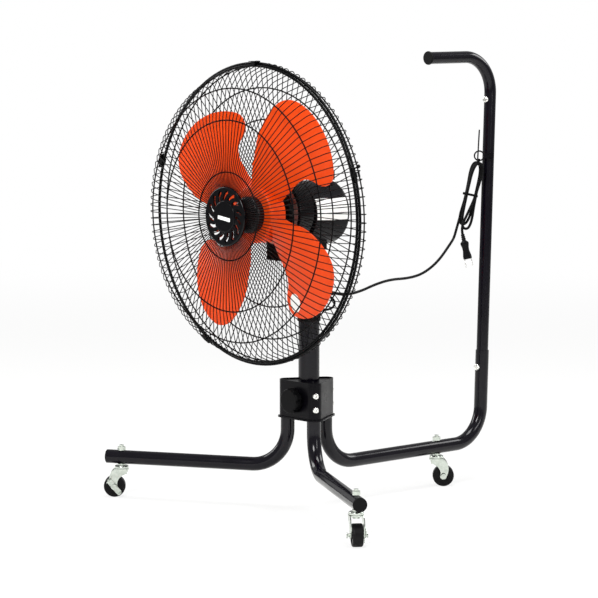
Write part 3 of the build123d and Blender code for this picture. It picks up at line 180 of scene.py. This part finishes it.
def orangePolypropylene(name, baseHex, liftHex, roughness):
    # injection-moulded polypropylene with orange pigment: satin, slightly waxy, faint flow lines from the hub
    material, tree, place = startMaterial(name)
    parts = addNode(tree, "ShaderNodeSeparateXYZ", None, {"Vector": place})
    up = addNode(tree, "ShaderNodeMath", {"operation": "SUBTRACT", 1: fanHeight}, {0: parts.outputs["Z"]})
    across = addNode(tree, "ShaderNodeMath", {"operation": "MULTIPLY"},
                     {0: parts.outputs["X"], 1: parts.outputs["X"]})
    along = addNode(tree, "ShaderNodeMath", {"operation": "MULTIPLY"}, {0: up.outputs[0], 1: up.outputs[0]})
    square = addNode(tree, "ShaderNodeMath", {"operation": "ADD"},
                     {0: across.outputs[0], 1: along.outputs[0]})
    radius = addNode(tree, "ShaderNodeMath", {"operation": "SQRT"}, {0: square.outputs[0]})
    angle = addNode(tree, "ShaderNodeMath", {"operation": "ARCTAN2"},
                    {0: up.outputs[0], 1: parts.outputs["X"]})
    # about 34 streaks a radian and one every 70 mm of radius, so that they run outwards
    turn = addNode(tree, "ShaderNodeMath", {"operation": "MULTIPLY", 1: 34.0}, {0: angle.outputs[0]})
    reach = addNode(tree, "ShaderNodeMath", {"operation": "MULTIPLY", 1: 1 / 0.07}, {0: radius.outputs[0]})
    flow = addNode(tree, "ShaderNodeCombineXYZ", None, {"X": turn.outputs[0], "Y": reach.outputs[0]})
    streak = addNode(tree, "ShaderNodeTexNoise", {"Scale": 1.0, "Detail": 3.0}, {"Vector": flow.outputs[0]})
    grain = addNode(tree, "ShaderNodeTexNoise", {"Scale": 1 / 0.0011, "Detail": 2.0}, {"Vector": place})
    colour = addNode(tree, "ShaderNodeMix", {"data_type": "RGBA", 6: toLinear(baseHex), 7: toLinear(liftHex)},
                     {0: streak.outputs["Fac"]})
    gloss = addNode(tree, "ShaderNodeMapRange", {"From Min": 0.3, "From Max": 0.7, "To Min": roughness - 0.05,
                    "To Max": roughness + 0.06}, {"Value": streak.outputs["Fac"]})
    skin = addNode(tree, "ShaderNodeBump", {"Strength": 0.3, "Distance": 0.00005},
                   {"Height": grain.outputs["Fac"]})
    shader = addNode(tree, "ShaderNodeBsdfPrincipled",
                     {"Metallic": 0.0, "IOR": 1.49, "Specular IOR Level": 0.22, "Subsurface Weight": 0.04,
                      "Subsurface Scale": 0.003, "Subsurface Radius": (1.0, 0.3, 0.08)},
                     {"Base Color": colour.outputs[2], "Roughness": gloss.outputs[0],
                      "Normal": skin.outputs[0]})
    addNode(tree, "ShaderNodeOutputMaterial", None, {"Surface": shader.outputs[0]})
    return material


def copperCoils(name):
    # enamelled copper wire laid in coils: reddish metal, 0.5 mm wires drawn 1.1 mm apart so that they show;
    # at Scale 1 a diagonal wave repeats every 0.363 m
    material, tree, place = startMaterial(name)
    lay = addNode(tree, "ShaderNodeTexWave",
                  {"bands_direction": "DIAGONAL", "Scale": 320.0, "Distortion": 2.0}, {"Vector": place})
    colour = addNode(tree, "ShaderNodeMix",
                     {"data_type": "RGBA", 6: toLinear("#8A451B"), 7: toLinear("#C8743A")},
                     {0: lay.outputs["Fac"]})
    skin = addNode(tree, "ShaderNodeBump", {"Strength": 0.6, "Distance": 0.0002},
                   {"Height": lay.outputs["Fac"]})
    shader = addNode(tree, "ShaderNodeBsdfPrincipled", {"Metallic": 1.0, "Roughness": 0.34},
                     {"Base Color": colour.outputs[2], "Normal": skin.outputs[0]})
    addNode(tree, "ShaderNodeOutputMaterial", None, {"Surface": shader.outputs[0]})
    return material


def stackedSteel(name):
    # stamped silicon steel laminations: grey metal in layers, 0.5 mm ones drawn 1 mm apart so that they show;
    # at Scale 1 a wave repeats every 0.314 m
    material, tree, place = startMaterial(name)
    layers = addNode(tree, "ShaderNodeTexWave", {"bands_direction": "Y", "Scale": 314.0, "Distortion": 0.2},
                     {"Vector": place})
    colour = addNode(tree, "ShaderNodeMix",
                     {"data_type": "RGBA", 6: toLinear("#5A5C5E"), 7: toLinear("#7D7F81")},
                     {0: layers.outputs["Fac"]})
    skin = addNode(tree, "ShaderNodeBump", {"Strength": 0.5, "Distance": 0.0001},
                   {"Height": layers.outputs["Fac"]})
    shader = addNode(tree, "ShaderNodeBsdfPrincipled", {"Metallic": 1.0, "Roughness": 0.42},
                     {"Base Color": colour.outputs[2], "Normal": skin.outputs[0]})
    addNode(tree, "ShaderNodeOutputMaterial", None, {"Surface": shader.outputs[0]})
    return material


def blankFilm(name, baseHex, shadeHex, roughness):
    # white polyester label film left blank: flat and satin, a trace of fibre, 1.5 mm, from the backing
    material, tree, place = startMaterial(name)
    fibre = addNode(tree, "ShaderNodeTexNoise", {"Scale": 1 / 0.0015, "Detail": 3.0}, {"Vector": place})
    colour = addNode(tree, "ShaderNodeMix",
                     {"data_type": "RGBA", 6: toLinear(baseHex), 7: toLinear(shadeHex)},
                     {0: fibre.outputs["Fac"]})
    skin = addNode(tree, "ShaderNodeBump", {"Strength": 0.2, "Distance": 0.00002},
                   {"Height": fibre.outputs["Fac"]})
    shader = addNode(tree, "ShaderNodeBsdfPrincipled", {"Metallic": 0.0, "Roughness": roughness},
                     {"Base Color": colour.outputs[2], "Normal": skin.outputs[0]})
    addNode(tree, "ShaderNodeOutputMaterial", None, {"Surface": shader.outputs[0]})
    return material


finishes = {
    # the tubes' black has a little violet in it
    "tubeCoat": glossyPowderCoat("glossy_black_powder_coat_on_tube", "#06040B", "#0A0810", 0.14, 0.24),
    "sheetCoat": glossyPowderCoat("black_powder_coat_on_sheet", "#040307", "#07060A", 0.3, 0.1),
    "castCoat": glossyPowderCoat("black_paint_on_casting", "#050407", "#08070A", 0.36, 0.1),
    "wireCoat": glossyPowderCoat("black_powder_coat_on_wire", "#020203", "#040405", 0.38, 0.07),
    "blackAbs": mouldedPlastic("glossy_moulded_black_abs", "#030305", "#060609", 0.12, 0.2, depth=0.000004,
                               strength=0.2),
    "blackNylon": mouldedPlastic("satin_moulded_black_nylon", "#040405", "#070708", 0.42, 0.08,
                                 depth=0.00002),
    "orange": orangePolypropylene("moulded_orange_polypropylene", "#E44102", "#EA4904", 0.36),
    "zinc": brightMetal("bright_zinc_plated_steel", "#D2D8D1", "#A3ABA2", 0.2),
    "nickel": brightMetal("nickel_plated_screws", "#F0F0ED", "#DBDBD6", 0.2),
    "aluminium": brightMetal("spun_bright_aluminium", "#EEEBE4", "#D6D2CA", 0.36, 0.02),
    "shaftSteel": brightMetal("ground_steel_shaft", "#BFC0C2", "#A6A8AA", 0.2, 0.01),
    "rubber": softRubber("black_rubber_caps", "#040405", "#09090A", 0.55, 0.12),
    "wheel": softRubber("black_rubber_wheel", "#050506", "#0B0A0C", 0.46, 0.14, 0.002),
    "cord": softRubber("black_pvc_cord", "#030304", "#060607", 0.42, 0.1, 0.0016),
    "plug": mouldedPlastic("moulded_black_pvc_plug", "#040405", "#08080A", 0.36, 0.12),
    "laminations": stackedSteel("silicon_steel_laminations"),
    "copper": copperCoils("enamelled_copper_coils"),
    "gearNylon": mouldedPlastic("natural_nylon_gear", "#DCD8C8", "#E6E2D4", 0.45, 0.4),
    "paleCase": mouldedPlastic("pale_moulded_case", "#CFCFC9", "#DADAD4", 0.4, 0.4),
    "labelFilm": blankFilm("blank_white_label_film", "#FBFCFA", "#F3F5F1", 0.38),
}

nodeFinish = {
    "tubeCoat": ["front_leg_left", "front_leg_right", "rear_leg", "handle_post", "handle_grip", "mast"],
    "sheetCoat": ["stand_bracket", "cord_hook", "motor_rear_cover"],
    "castCoat": ["neck_housing", "swing_yoke", "motor_foot"],
    "wireCoat": ["front_guard", "front_guard_rings", "rear_guard", "rear_guard_rings"],
    "blackAbs": ["motor_front_cover", "front_badge", "spinner_cap"],
    "blackNylon": ["mast_collar", "lock_knob", "tilt_knob", "swing_knob", "switch_box", "switch_box_lid",
                   "speed_knob", "guard_nut", "cord_tie", "guard_clip_1", "guard_clip_2", "guard_clip_3",
                   "guard_clip_4", "guard_clip_5"],
    "orange": ["blade_set"],
    "zinc": ["caster_stems", "caster_left_fork", "caster_right_fork", "caster_rear_fork",
             "caster_left_brake", "caster_right_brake", "caster_rear_brake"],
    "nickel": ["stand_screws"],
    "aluminium": ["guard_washer"],
    "shaftSteel": ["motor_shaft", "motor_bearings"],
    "rubber": ["tube_end_caps", "cord_glands"],
    "wheel": ["caster_left_wheel", "caster_right_wheel", "caster_rear_wheel"],
    "cord": ["power_cord", "cord_hank", "swing_lead"],
    "plug": ["power_plug"],
    "laminations": ["stator", "rotor_core"],
    "copper": ["windings"],
    "gearNylon": ["worm_wheel"],
    "paleCase": ["capacitor", "speed_switch"],
}
for finish, names in nodeFinish.items():
    for name in names:
        if not nodes[name].data.materials:
            nodes[name].data.materials.append(finishes[finish])
        for slot in nodes[name].material_slots:
            slot.material = finishes[finish]
print("materials set; nodes without one:", sorted(set(nodes) - set(sum(nodeFinish.values(), []))))


def keep(obj, body, finish, *standsFor):
    bpy.context.scene.collection.objects.link(obj)
    obj.data.materials.append(finishes[finish])
    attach(obj, body)
    if standsFor:
        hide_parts(*standsFor)
    return obj


def fromBmesh(name, maker):
    bmesh.ops.recalc_face_normals(maker, faces=maker.faces)
    for face in maker.faces:
        face.smooth = True
    mesh = bpy.data.meshes.new(name)
    maker.to_mesh(mesh)
    maker.free()
    return bpy.data.objects.new(name, mesh)


def bridge(maker, lower, upper):
    # a band of faces between two closed rings that have as many points
    count = len(lower)
    for i in range(count):
        j = (i + 1) % count
        maker.faces.new((lower[i], lower[j], upper[j], upper[i]))


# the two cords, with the same points as in part.py
powerCord = {
    "diameter": 0.005,
    "length": 1.22,
    # straight out of the neck, across to the handle and up to the hank
    "points": [
        (0.00883, 0.03294, 0.388), (0.01398, 0.05216, 0.388), (0.0124, 0.084, 0.3826), (0.0082, 0.122, 0.386),
        (0.0036, 0.162, 0.395), (-0.0015, 0.207, 0.4005), (-0.0076, 0.26, 0.3986), (-0.0126, 0.304, 0.404),
        (-0.0176, 0.348, 0.4235), (-0.0218, 0.385, 0.455)],
}
swingLead = {
    "diameter": 0.004,
    "length": 0.075,
    "points": [(0.03072, 0.00998, 0.388), (0.04185, 0.0136, 0.388), (0.0515, 0.0175, 0.377),
               (0.047, 0.013, 0.3645), (0.03077, -0.00378, 0.362), (0.0139, -0.00171, 0.362)],
}
# the hank's own frame, its loops, and how far each loop's folds stray to the side and down
hank = {
    "origin": (0.00172, 0.43479, 0.6065),
    "across": (0.662085, 0.717494, -0.21644),
    "up": (0.146781, 0.159065, 0.976296),
    "out": (0.734915, -0.67816, 0.0),
    "loops": 3, "layer": 0.0056, "fold": 0.0100, "waist": 0.0086, "length": 0.124,
    "topShift": (-0.0025, 0.0005, 0.0025),
    "bottomShift": (-0.0035, 0.0035), "bottomDrop": (0.004, -0.003),
    # the cord comes in from below beside the folds, and leaves in front of them down to the plug
    "entryAside": 0.002, "entryDrop": 0.009, "entryRun": 0.017,
    "leave": ((0.001, 0.027, 0.001), (-0.0056, -0.001, 0.0016)),
    "plugEnd": (0.00027, -0.13771), "plugLift": 0.0016,
}
hankFront = hank["layer"] * hank["loops"] / 2


def cordCurve(name, points, diameter):
    data = bpy.data.curves.new(name, "CURVE")
    data.dimensions = "3D"
    spline = data.splines.new("NURBS")
    spline.points.add(len(points) - 1)
    for point, where in zip(spline.points, points):
        point.co = (*where, 1.0)
    spline.order_u = 3
    spline.use_endpoint_u = True
    spline.resolution_u = 12
    data.bevel_depth = diameter / 2
    data.bevel_resolution = 5
    data.use_fill_caps = True
    return bpy.data.objects.new(name, data)


def inHank(x, y, z):
    spot = Vector(hank["origin"])
    for key, amount in (("across", x), ("up", y), ("out", z)):
        spot += Vector(hank[key]) * amount
    return tuple(spot)


def hankPoints():
    loops, layer, fold = hank["loops"], hank["layer"], hank["fold"]
    waist, low = hank["waist"], -hank["length"]
    first = -layer * (loops - 1) / 2
    entry = Vector((-fold - hank["entryAside"], low - hank["entryDrop"], first - layer / 2))
    lead = Vector((-waist, low / 2, first - layer / 4)) - entry
    points = [tuple(entry - lead.normalized() * hank["entryRun"]), tuple(entry)]
    for loop in range(loops):
        depth = first + layer * loop
        top = hank["topShift"][loop]
        points += [(-waist, low / 2, depth - layer / 4), (top - fold, 0, depth), (top + fold, 0, depth),
                   (waist, low / 2, depth + layer / 4)]
        if loop < loops - 1:
            side, drop = hank["bottomShift"][loop], low + hank["bottomDrop"][loop]
            points += [(side + fold, drop, depth + layer / 2), (side - fold, drop, depth + layer / 2)]
    points += [(side, low + rise, hankFront + lift) for side, rise, lift in hank["leave"]]
    points.append((*hank["plugEnd"], hankFront + hank["plugLift"]))
    return [inHank(*point) for point in points]


# a flat plug with a ribbed neck, a waist for the fingers and two blade pins
plug = {
    "turn": 24.8,                # it hangs plumb, so it is turned in the hank's frame
    # distance from the cord's end, half width and half depth
    "neck": [(0.0, 0.0029, 0.0029), (0.0012, 0.0036, 0.0036), (0.0026, 0.0037, 0.0037),
             (0.0031, 0.0031, 0.0031), (0.0044, 0.0032, 0.0032), (0.0049, 0.0039, 0.0039),
             (0.0064, 0.004, 0.004), (0.0069, 0.0033, 0.0033), (0.0082, 0.0034, 0.0034),
             (0.0087, 0.0042, 0.0041), (0.0102, 0.0043, 0.0042), (0.0107, 0.0036, 0.0035),
             (0.0122, 0.0038, 0.0037)],
    "shell": [(0.0140, 0.0052, 0.0041), (0.0156, 0.0072, 0.0045), (0.0176, 0.0080, 0.0048),
              (0.0205, 0.0077, 0.0047), (0.0260, 0.0064, 0.0043), (0.0320, 0.0062, 0.0042),
              (0.0375, 0.0072, 0.0046), (0.0420, 0.0081, 0.0049), (0.0462, 0.0082, 0.0050),
              (0.0476, 0.0079, 0.0048), (0.0480, 0.0072, 0.0043)],
    "around": 32, "squareness": 0.62,
    "pinSpacing": 0.0127, "pinLength": 0.0152, "pinWidth": 0.0063, "pinSheet": 0.0015,
    "pinRoot": 0.001, "pinTip": ((0, 0.0022), (0.0007, 0.0007), (0.0018, 0)), "pinBevel": 0.0002,
}


def plugAxes():
    turn = math.radians(plug["turn"])
    across, up, out = (Vector(hank[key]) for key in ("across", "up", "out"))
    start = Vector(inHank(*hank["plugEnd"], hankFront + hank["plugLift"]))
    side = across * math.cos(turn) + up * math.sin(turn)
    along = across * math.sin(turn) - up * math.cos(turn)
    return start, side, along, out


def plugBody():
    start, side, along, out = plugAxes()
    maker = bmesh.new()
    rings = []
    # the neck is round and the shell is a rounded square
    for part, squareness in (("neck", 1.0), ("shell", plug["squareness"])):
        for distance, halfWide, halfDeep in plug[part]:
            ring = []
            for step in range(plug["around"]):
                angle = math.tau * step / plug["around"]
                c, s = math.cos(angle), math.sin(angle)
                x = halfWide * math.copysign(abs(c) ** squareness, c)
                z = halfDeep * math.copysign(abs(s) ** squareness, s)
                ring.append(maker.verts.new(start + along * distance + side * x + out * z))
            rings.append(ring)
    for lower, upper in zip(rings, rings[1:]):
        bridge(maker, lower, upper)
    maker.faces.new(rings[0])
    maker.faces.new(rings[-1])
    return fromBmesh("plug_body", maker)


def plugPins():
    start, side, along, out = plugAxes()
    maker = bmesh.new()
    half, sheet = plug["pinWidth"] / 2, plug["pinSheet"] / 2
    flank = [(half, -plug["pinRoot"])]
    flank += [(half - cutIn, plug["pinLength"] - cutDown) for cutIn, cutDown in plug["pinTip"]]
    outline = [(-a, b) for a, b in flank] + flank[::-1]
    face = start + along * plug["shell"][-1][0]
    for direction in (-1, 1):
        middle = face + side * (direction * plug["pinSpacing"] / 2)
        flats = [[maker.verts.new(middle + side * (flat * sheet) + out * a + along * b) for a, b in outline]
                 for flat in (-1, 1)]
        maker.faces.new(flats[0])
        maker.faces.new(flats[1])
        bridge(maker, *flats)
    bmesh.ops.bevel(maker, geom=maker.edges[:], offset=plug["pinBevel"], segments=2, affect="EDGES")
    return fromBmesh("plug_pins", maker)


plugShell = keep(plugBody(), "stand", "plug", "power_plug")
pins = keep(plugPins(), "stand", "nickel")

mainsCord = cordCurve("mains_cord", powerCord["points"] + hankPoints(), powerCord["diameter"])
keep(mainsCord, "stand", "cord", "power_cord", "cord_hank")

leadCurve = cordCurve("swing_lead_cord", swingLead["points"], swingLead["diameter"])
keep(leadCurve, "stand", "cord", "swing_lead")
print("cords laid")

# ribbed rubber tail of the cord's strain relief, out of the gland on the neck
reliefTail = {
    "angle": 75.0, "height": 0.388, "around": 28,
    # distance from the mast's axis, and radius about the cord
    "profile": [(0.0405, 0.0026), (0.0405, 0.0044), (0.0422, 0.0044), (0.0426, 0.0036), (0.0436, 0.0036),
                (0.0440, 0.0042), (0.0456, 0.0041), (0.0460, 0.0034), (0.0470, 0.0034), (0.0474, 0.0039),
                (0.0490, 0.0038), (0.0494, 0.0032), (0.0504, 0.0032), (0.0508, 0.0036), (0.0522, 0.0035),
                (0.0526, 0.0026)],
}


def cordRelief():
    turn = math.radians(reliefTail["angle"])
    outward, side = Vector((math.cos(turn), math.sin(turn), 0)), Vector((-math.sin(turn), math.cos(turn), 0))
    up = Vector((0, 0, 1))
    foot = Vector((0, 0, reliefTail["height"]))
    maker = bmesh.new()
    angles = [math.tau * step / reliefTail["around"] for step in range(reliefTail["around"])]
    rings = [[maker.verts.new(foot + outward * distance + side * (radius * math.cos(a)) +
                              up * (radius * math.sin(a))) for a in angles]
             for distance, radius in reliefTail["profile"]]
    for lower, upper in zip(rings, rings[1:] + rings[:1]):
        bridge(maker, lower, upper)
    return fromBmesh("cord_relief_tail", maker)


keep(cordRelief(), "stand", "rubber")
print("plug and strain relief made")


def roundedOutline(width, height, corner):
    # corners as arcs, straight sides cut into steps of 1.5 mm so that they can follow a curved surface
    pitch, cornerSteps = 0.0015, 5
    outline = []
    for number in range(4):
        turn = math.pi / 2 * number
        cx = (width / 2 - corner) * (1 if number in (0, 3) else -1)
        cy = (height / 2 - corner) * (1 if number in (0, 1) else -1)
        for step in range(cornerSteps + 1):
            angle = turn + math.pi / 2 * step / cornerSteps
            outline.append(Vector((cx + corner * math.cos(angle), cy + corner * math.sin(angle))))
        run = (width if number in (0, 2) else height) - 2 * corner
        ahead = Vector(((-1, 0), (0, -1), (1, 0), (0, 1))[number])
        count = int(run / pitch)
        here = outline[-1]
        outline += [here + ahead * (run * step / count) for step in range(1, count)]
    return [tuple(point) for point in outline]


def laidPlate(name, outline, thickness, onto, rings=14):
    # a thin plate whose outline is laid on a surface: onto(a, b, lift) gives the place in the frame;
    # its top edge is chamfered, and rings close in from there to the middle
    chamferFrom, chamferShrink = 0.7, 0.985
    maker = bmesh.new()
    levels = [(0.0, 1.0), (thickness * chamferFrom, 1.0)]
    levels += [(thickness, chamferShrink * (1 - step / rings)) for step in range(rings)]
    loops = [[maker.verts.new(onto(a * shrink, b * shrink, lift)) for a, b in outline]
             for lift, shrink in levels]
    middle = maker.verts.new(onto(0, 0, thickness))
    for lower, upper in zip(loops, loops[1:]):
        bridge(maker, lower, upper)
    inner = loops[-1]
    for here, ahead in zip(inner, inner[1:] + inner[:1]):
        maker.faces.new((here, ahead, middle))
    return fromBmesh(name, maker)


# bare white film: a plate on the front badge, a label along the motor and a round sticker on a blade
badgePlate = {"width": 0.032, "height": 0.0064, "corner": 0.0008, "thickness": 0.0005, "rings": 4,
              "x": 0.0003, "z": 0.5366, "front": -0.2026, "tilt": -7.4}
motorLabel = {"radius": 0.05755, "centreZ": 0.5367, "lowAngle": -11.0, "highAngle": 29.5,
              "frontY": -0.0325, "rearY": 0.0415, "corner": 0.0015, "thickness": 0.0003}
bladeSticker = {"radius": 0.0168, "x": 0.0845, "z": 0.3880, "thickness": 0.0003, "around": 48,
                "inFront": -0.3, "reach": 0.02, "clear": 0.00005}


def ontoBadge(a, b, lift):
    tilt = math.radians(badgePlate["tilt"])
    return (badgePlate["x"] + a * math.cos(tilt) - b * math.sin(tilt), badgePlate["front"] - lift,
            badgePlate["z"] + a * math.sin(tilt) + b * math.cos(tilt))


def ontoMotor(a, b, lift):
    middle = math.radians((motorLabel["lowAngle"] + motorLabel["highAngle"]) / 2)
    angle = middle + b / motorLabel["radius"]
    radius = motorLabel["radius"] + lift
    return (radius * math.cos(angle), (motorLabel["frontY"] + motorLabel["rearY"]) / 2 + a,
            motorLabel["centreZ"] + radius * math.sin(angle))


bladeTree = BVHTree.FromPolygons([v.co[:] for v in nodes["blade_set"].data.vertices],
                                 [tuple(f.vertices) for f in nodes["blade_set"].data.polygons])
stickerStart = Vector((bladeSticker["x"], bladeSticker["inFront"], bladeSticker["z"]))
stickerSpot, stickerFacing, _, _ = bladeTree.ray_cast(stickerStart, Vector((0, 1, 0)))


def ontoBlade(a, b, lift):
    start = stickerStart + Vector((a, 0, b))
    spot, normal, _, _ = bladeTree.ray_cast(start, Vector((0, 1, 0)))
    if spot is None or abs(spot.y - stickerSpot.y) > bladeSticker["reach"]:
        # past the blade's edge the sticker goes on level
        depth = (stickerSpot - start).dot(stickerFacing) / stickerFacing.y
        spot, normal = start + Vector((0, depth, 0)), stickerFacing
    facing = -normal if normal.y > 0 else normal
    return tuple(spot + facing * (lift + bladeSticker["clear"]))


badgeOutline = roundedOutline(badgePlate["width"], badgePlate["height"], badgePlate["corner"])
keep(laidPlate("badge_blank_plate", badgeOutline, badgePlate["thickness"], ontoBadge, badgePlate["rings"]),
     "fan_head", "labelFilm")
labelArc = math.radians(motorLabel["highAngle"] - motorLabel["lowAngle"]) * motorLabel["radius"]
labelOutline = roundedOutline(motorLabel["rearY"] - motorLabel["frontY"], labelArc, motorLabel["corner"])
keep(laidPlate("motor_blank_label", labelOutline, motorLabel["thickness"], ontoMotor),
     "fan_head", "labelFilm")
stickerAngles = [math.tau * i / bladeSticker["around"] for i in range(bladeSticker["around"])]
stickerOutline = [(bladeSticker["radius"] * math.cos(a), bladeSticker["radius"] * math.sin(a))
                  for a in stickerAngles]
keep(laidPlate("blade_blank_sticker", stickerOutline, bladeSticker["thickness"], ontoBlade),
     "rotor", "labelFilm")
print("blank plates laid")

# in the photo the two rim rings touch, and the rear guard's hoop lies further back in its wires' corner
rimRings = {
    # both lie past this radius: the rim in front of rimBackY, the hoop between its front and back
    "leastRadius": 0.256, "rimBackY": -0.1245, "hoopFrontY": -0.1215, "hoopBackY": -0.1175,
    "swell": {"front_guard_rings": 0.00014, "rear_guard_rings": 0.00012},
    "hoopInward": 0.0029, "hoopBackward": 0.0062,
}


def fromFanAxis(place):
    return Vector((place.x, 0, place.z - fanHeight))


def copiedMesh(name):
    mesh = nodes[name].data.copy()
    mesh.materials.clear()
    return mesh


def fittedRings(name):
    mesh = copiedMesh(name)
    normals = [vertex.normal.copy() for vertex in mesh.vertices]
    for vertex, normal in zip(mesh.vertices, normals):
        outward = fromFanAxis(vertex.co)
        if outward.length < rimRings["leastRadius"]:
            continue
        if vertex.co.y < rimRings["rimBackY"]:
            vertex.co += normal * rimRings["swell"][name]
        elif rimRings["hoopFrontY"] < vertex.co.y < rimRings["hoopBackY"]:
            vertex.co += Vector((0, rimRings["hoopBackward"], 0))
            vertex.co -= outward.normalized() * rimRings["hoopInward"]
    return bpy.data.objects.new(name + "_fitted", mesh)


for name in ("front_guard_rings", "rear_guard_rings"):
    keep(fittedRings(name), "fan_head", "wireCoat", name)

# each clip has a long flat cover along the rim; only the fifth shows a lever's ball, and the others lie flat
clipCover = {
    "angles": (90.0, 162.0, 240.2, 312.2, 18.0),
    "radius": 0.2687, "y": -0.1308,
    "length": 0.026, "width": 0.0066, "corner": 0.0016, "thickness": 0.0013, "rings": 3,
    "flatRadius": 0.2704,        # no flat clip reaches past this
}
clipLever = {
    "clip": 5,
    "along": 0.0125, "radius": 0.2745, "y": -0.1230,
    "ball": 0.0034, "stem": 0.0014, "footBack": 0.002,
}


def onRim(degrees, along, radius, y):
    angle = math.radians(degrees) + along / clipCover["radius"]
    return Vector((radius * math.cos(angle), y, fanHeight + radius * math.sin(angle)))


def ballLever(degrees):
    # a ball on a short stem that stands on the end of the cover
    ball = onRim(degrees, clipLever["along"], clipLever["radius"], clipLever["y"])
    foot = onRim(degrees, clipLever["along"] - clipLever["footBack"],
                 clipCover["radius"] + clipCover["thickness"] / 2,
                 clipCover["y"] + clipCover["width"] / 2 - clipLever["stem"])
    maker = bmesh.new()
    bmesh.ops.create_uvsphere(maker, u_segments=20, v_segments=12, radius=clipLever["ball"])
    bmesh.ops.translate(maker, verts=maker.verts[:], vec=ball)
    reach = ball - foot
    stem = bmesh.ops.create_cone(maker, segments=16, radius1=clipLever["stem"], radius2=clipLever["stem"],
                                 depth=reach.length, cap_ends=True)["verts"]
    bmesh.ops.rotate(maker, verts=stem, matrix=reach.to_track_quat("Z", "Y").to_matrix())
    bmesh.ops.translate(maker, verts=stem, vec=(ball + foot) / 2)
    return fromBmesh("clip_lever", maker)


def flatClip(name):
    # what stands out past the cover is pressed down to it
    mesh = copiedMesh(name)
    for vertex in mesh.vertices:
        outward = fromFanAxis(vertex.co)
        excess = outward.length - clipCover["flatRadius"]
        if excess > 0:
            vertex.co -= outward.normalized() * excess
    return bpy.data.objects.new(name + "_flat", mesh)


def clipPlate(number, degrees):
    def ontoRim(a, b, lift):
        return onRim(degrees, a, clipCover["radius"] + lift, clipCover["y"] + b)
    outline = roundedOutline(clipCover["length"], clipCover["width"], clipCover["corner"])
    return laidPlate("clip_cover_%d" % number, outline, clipCover["thickness"], ontoRim, clipCover["rings"])


for number, degrees in enumerate(clipCover["angles"], 1):
    clipBody, clipNode = "clip_%d" % number, "guard_clip_%d" % number
    keep(clipPlate(number, degrees), clipBody, "blackNylon")
    if number == clipLever["clip"]:
        keep(ballLever(degrees), clipBody, "blackNylon")
    else:
        keep(flatClip(clipNode), clipBody, "blackNylon", clipNode)
print("rim rings fitted and clips covered")

# a plain white floor: seen by the camera it goes over to pure white with distance, and keeps the shadow
half = studio["floorHalf"]
floorMesh = bpy.data.meshes.new("floor")
floorCorners = [(-half, -half, 0), (half, -half, 0), (half, half, 0), (-half, half, 0)]
floorMesh.from_pydata(floorCorners, [], [(0, 1, 2, 3)])
floor = bpy.data.objects.new("floor", floorMesh)
bpy.context.scene.collection.objects.link(floor)
floorMaterial, floorTree, floorSpot = startMaterial("matt_white_paper_floor")
matt = addNode(floorTree, "ShaderNodeBsdfDiffuse", {"Color": toLinear(studio["floorHex"])})
glow = addNode(floorTree, "ShaderNodeEmission", {"Color": (1, 1, 1, 1), "Strength": 1.0})
rays = addNode(floorTree, "ShaderNodeLightPath")
distance = addNode(floorTree, "ShaderNodeVectorMath", {"operation": "LENGTH"}, {0: floorSpot})
white = addNode(floorTree, "ShaderNodeMapRange",
                {"interpolation_type": "SMOOTHSTEP", "From Min": studio["whiteNear"],
                 "From Max": studio["whiteFar"], "To Min": studio["whiteLeast"], "To Max": 1.0},
                {"Value": distance.outputs["Value"]})
seen = addNode(floorTree, "ShaderNodeMath", {"operation": "MULTIPLY"},
               {0: rays.outputs["Is Camera Ray"], 1: white.outputs[0]})
mixed = addNode(floorTree, "ShaderNodeMixShader", None,
                {0: seen.outputs[0], 1: matt.outputs[0], 2: glow.outputs[0]})
addNode(floorTree, "ShaderNodeOutputMaterial", None, {"Surface": mixed.outputs[0]})
floorMesh.materials.append(floorMaterial)

world = bpy.data.worlds.new("soft_white_room")
bpy.context.scene.world = world
world.use_nodes = True
worldTree = world.node_tree
worldTree.nodes.clear()
worldRays = addNode(worldTree, "ShaderNodeLightPath")
inGloss = addNode(worldTree, "ShaderNodeMath", {"operation": "MULTIPLY", 1: studio["roomInGloss"]},
                  {0: worldRays.outputs["Is Glossy Ray"]})
direct = addNode(worldTree, "ShaderNodeMath", {"operation": "MAXIMUM"},
                 {0: worldRays.outputs["Is Camera Ray"], 1: worldRays.outputs["Is Transmission Ray"]})
either = addNode(worldTree, "ShaderNodeMath", {"operation": "MAXIMUM"},
                 {0: direct.outputs[0], 1: inGloss.outputs[0]})
roomLight = addNode(worldTree, "ShaderNodeBackground",
                    {"Color": (1, 1, 1, 1), "Strength": studio["roomLight"]})
backdrop = addNode(worldTree, "ShaderNodeBackground", {"Color": (1, 1, 1, 1), "Strength": 1.0})
roomMix = addNode(worldTree, "ShaderNodeMixShader", None,
                  {0: either.outputs[0], 1: roomLight.outputs[0], 2: backdrop.outputs[0]})
addNode(worldTree, "ShaderNodeOutputWorld", None, {"Surface": roomMix.outputs[0]})

lamps = {
    # place, aim, width, height and watts
    "key_softbox": ((1.2, -2.6, 2.4), (0, 0, 0.45), 1.1, 1.1, 100),
    "side_softbox": ((2.8, 0.2, 1.5), (0, 0, 0.5), 0.5, 1.6, 26),
    "fill_softbox": ((-2.6, -1.0, 1.6), (0, 0, 0.5), 0.8, 1.6, 34),
    "top_softbox": ((0.2, 0.3, 2.9), (0, 0, 0.4), 1.2, 1.2, 54),
    "back_softbox": ((0.6, 2.6, 1.8), (0, 0, 0.5), 1.0, 1.0, 22),
}
for name, (place, target, width, height, watts) in lamps.items():
    data = bpy.data.lights.new(name, "AREA")
    data.shape = "RECTANGLE"
    data.size, data.size_y, data.energy = width, height, watts
    lamp = bpy.data.objects.new(name, data)
    bpy.context.scene.collection.objects.link(lamp)
    aim(lamp, place, target)
bpy.context.scene.view_settings.view_transform = "Standard"
print("studio ready")
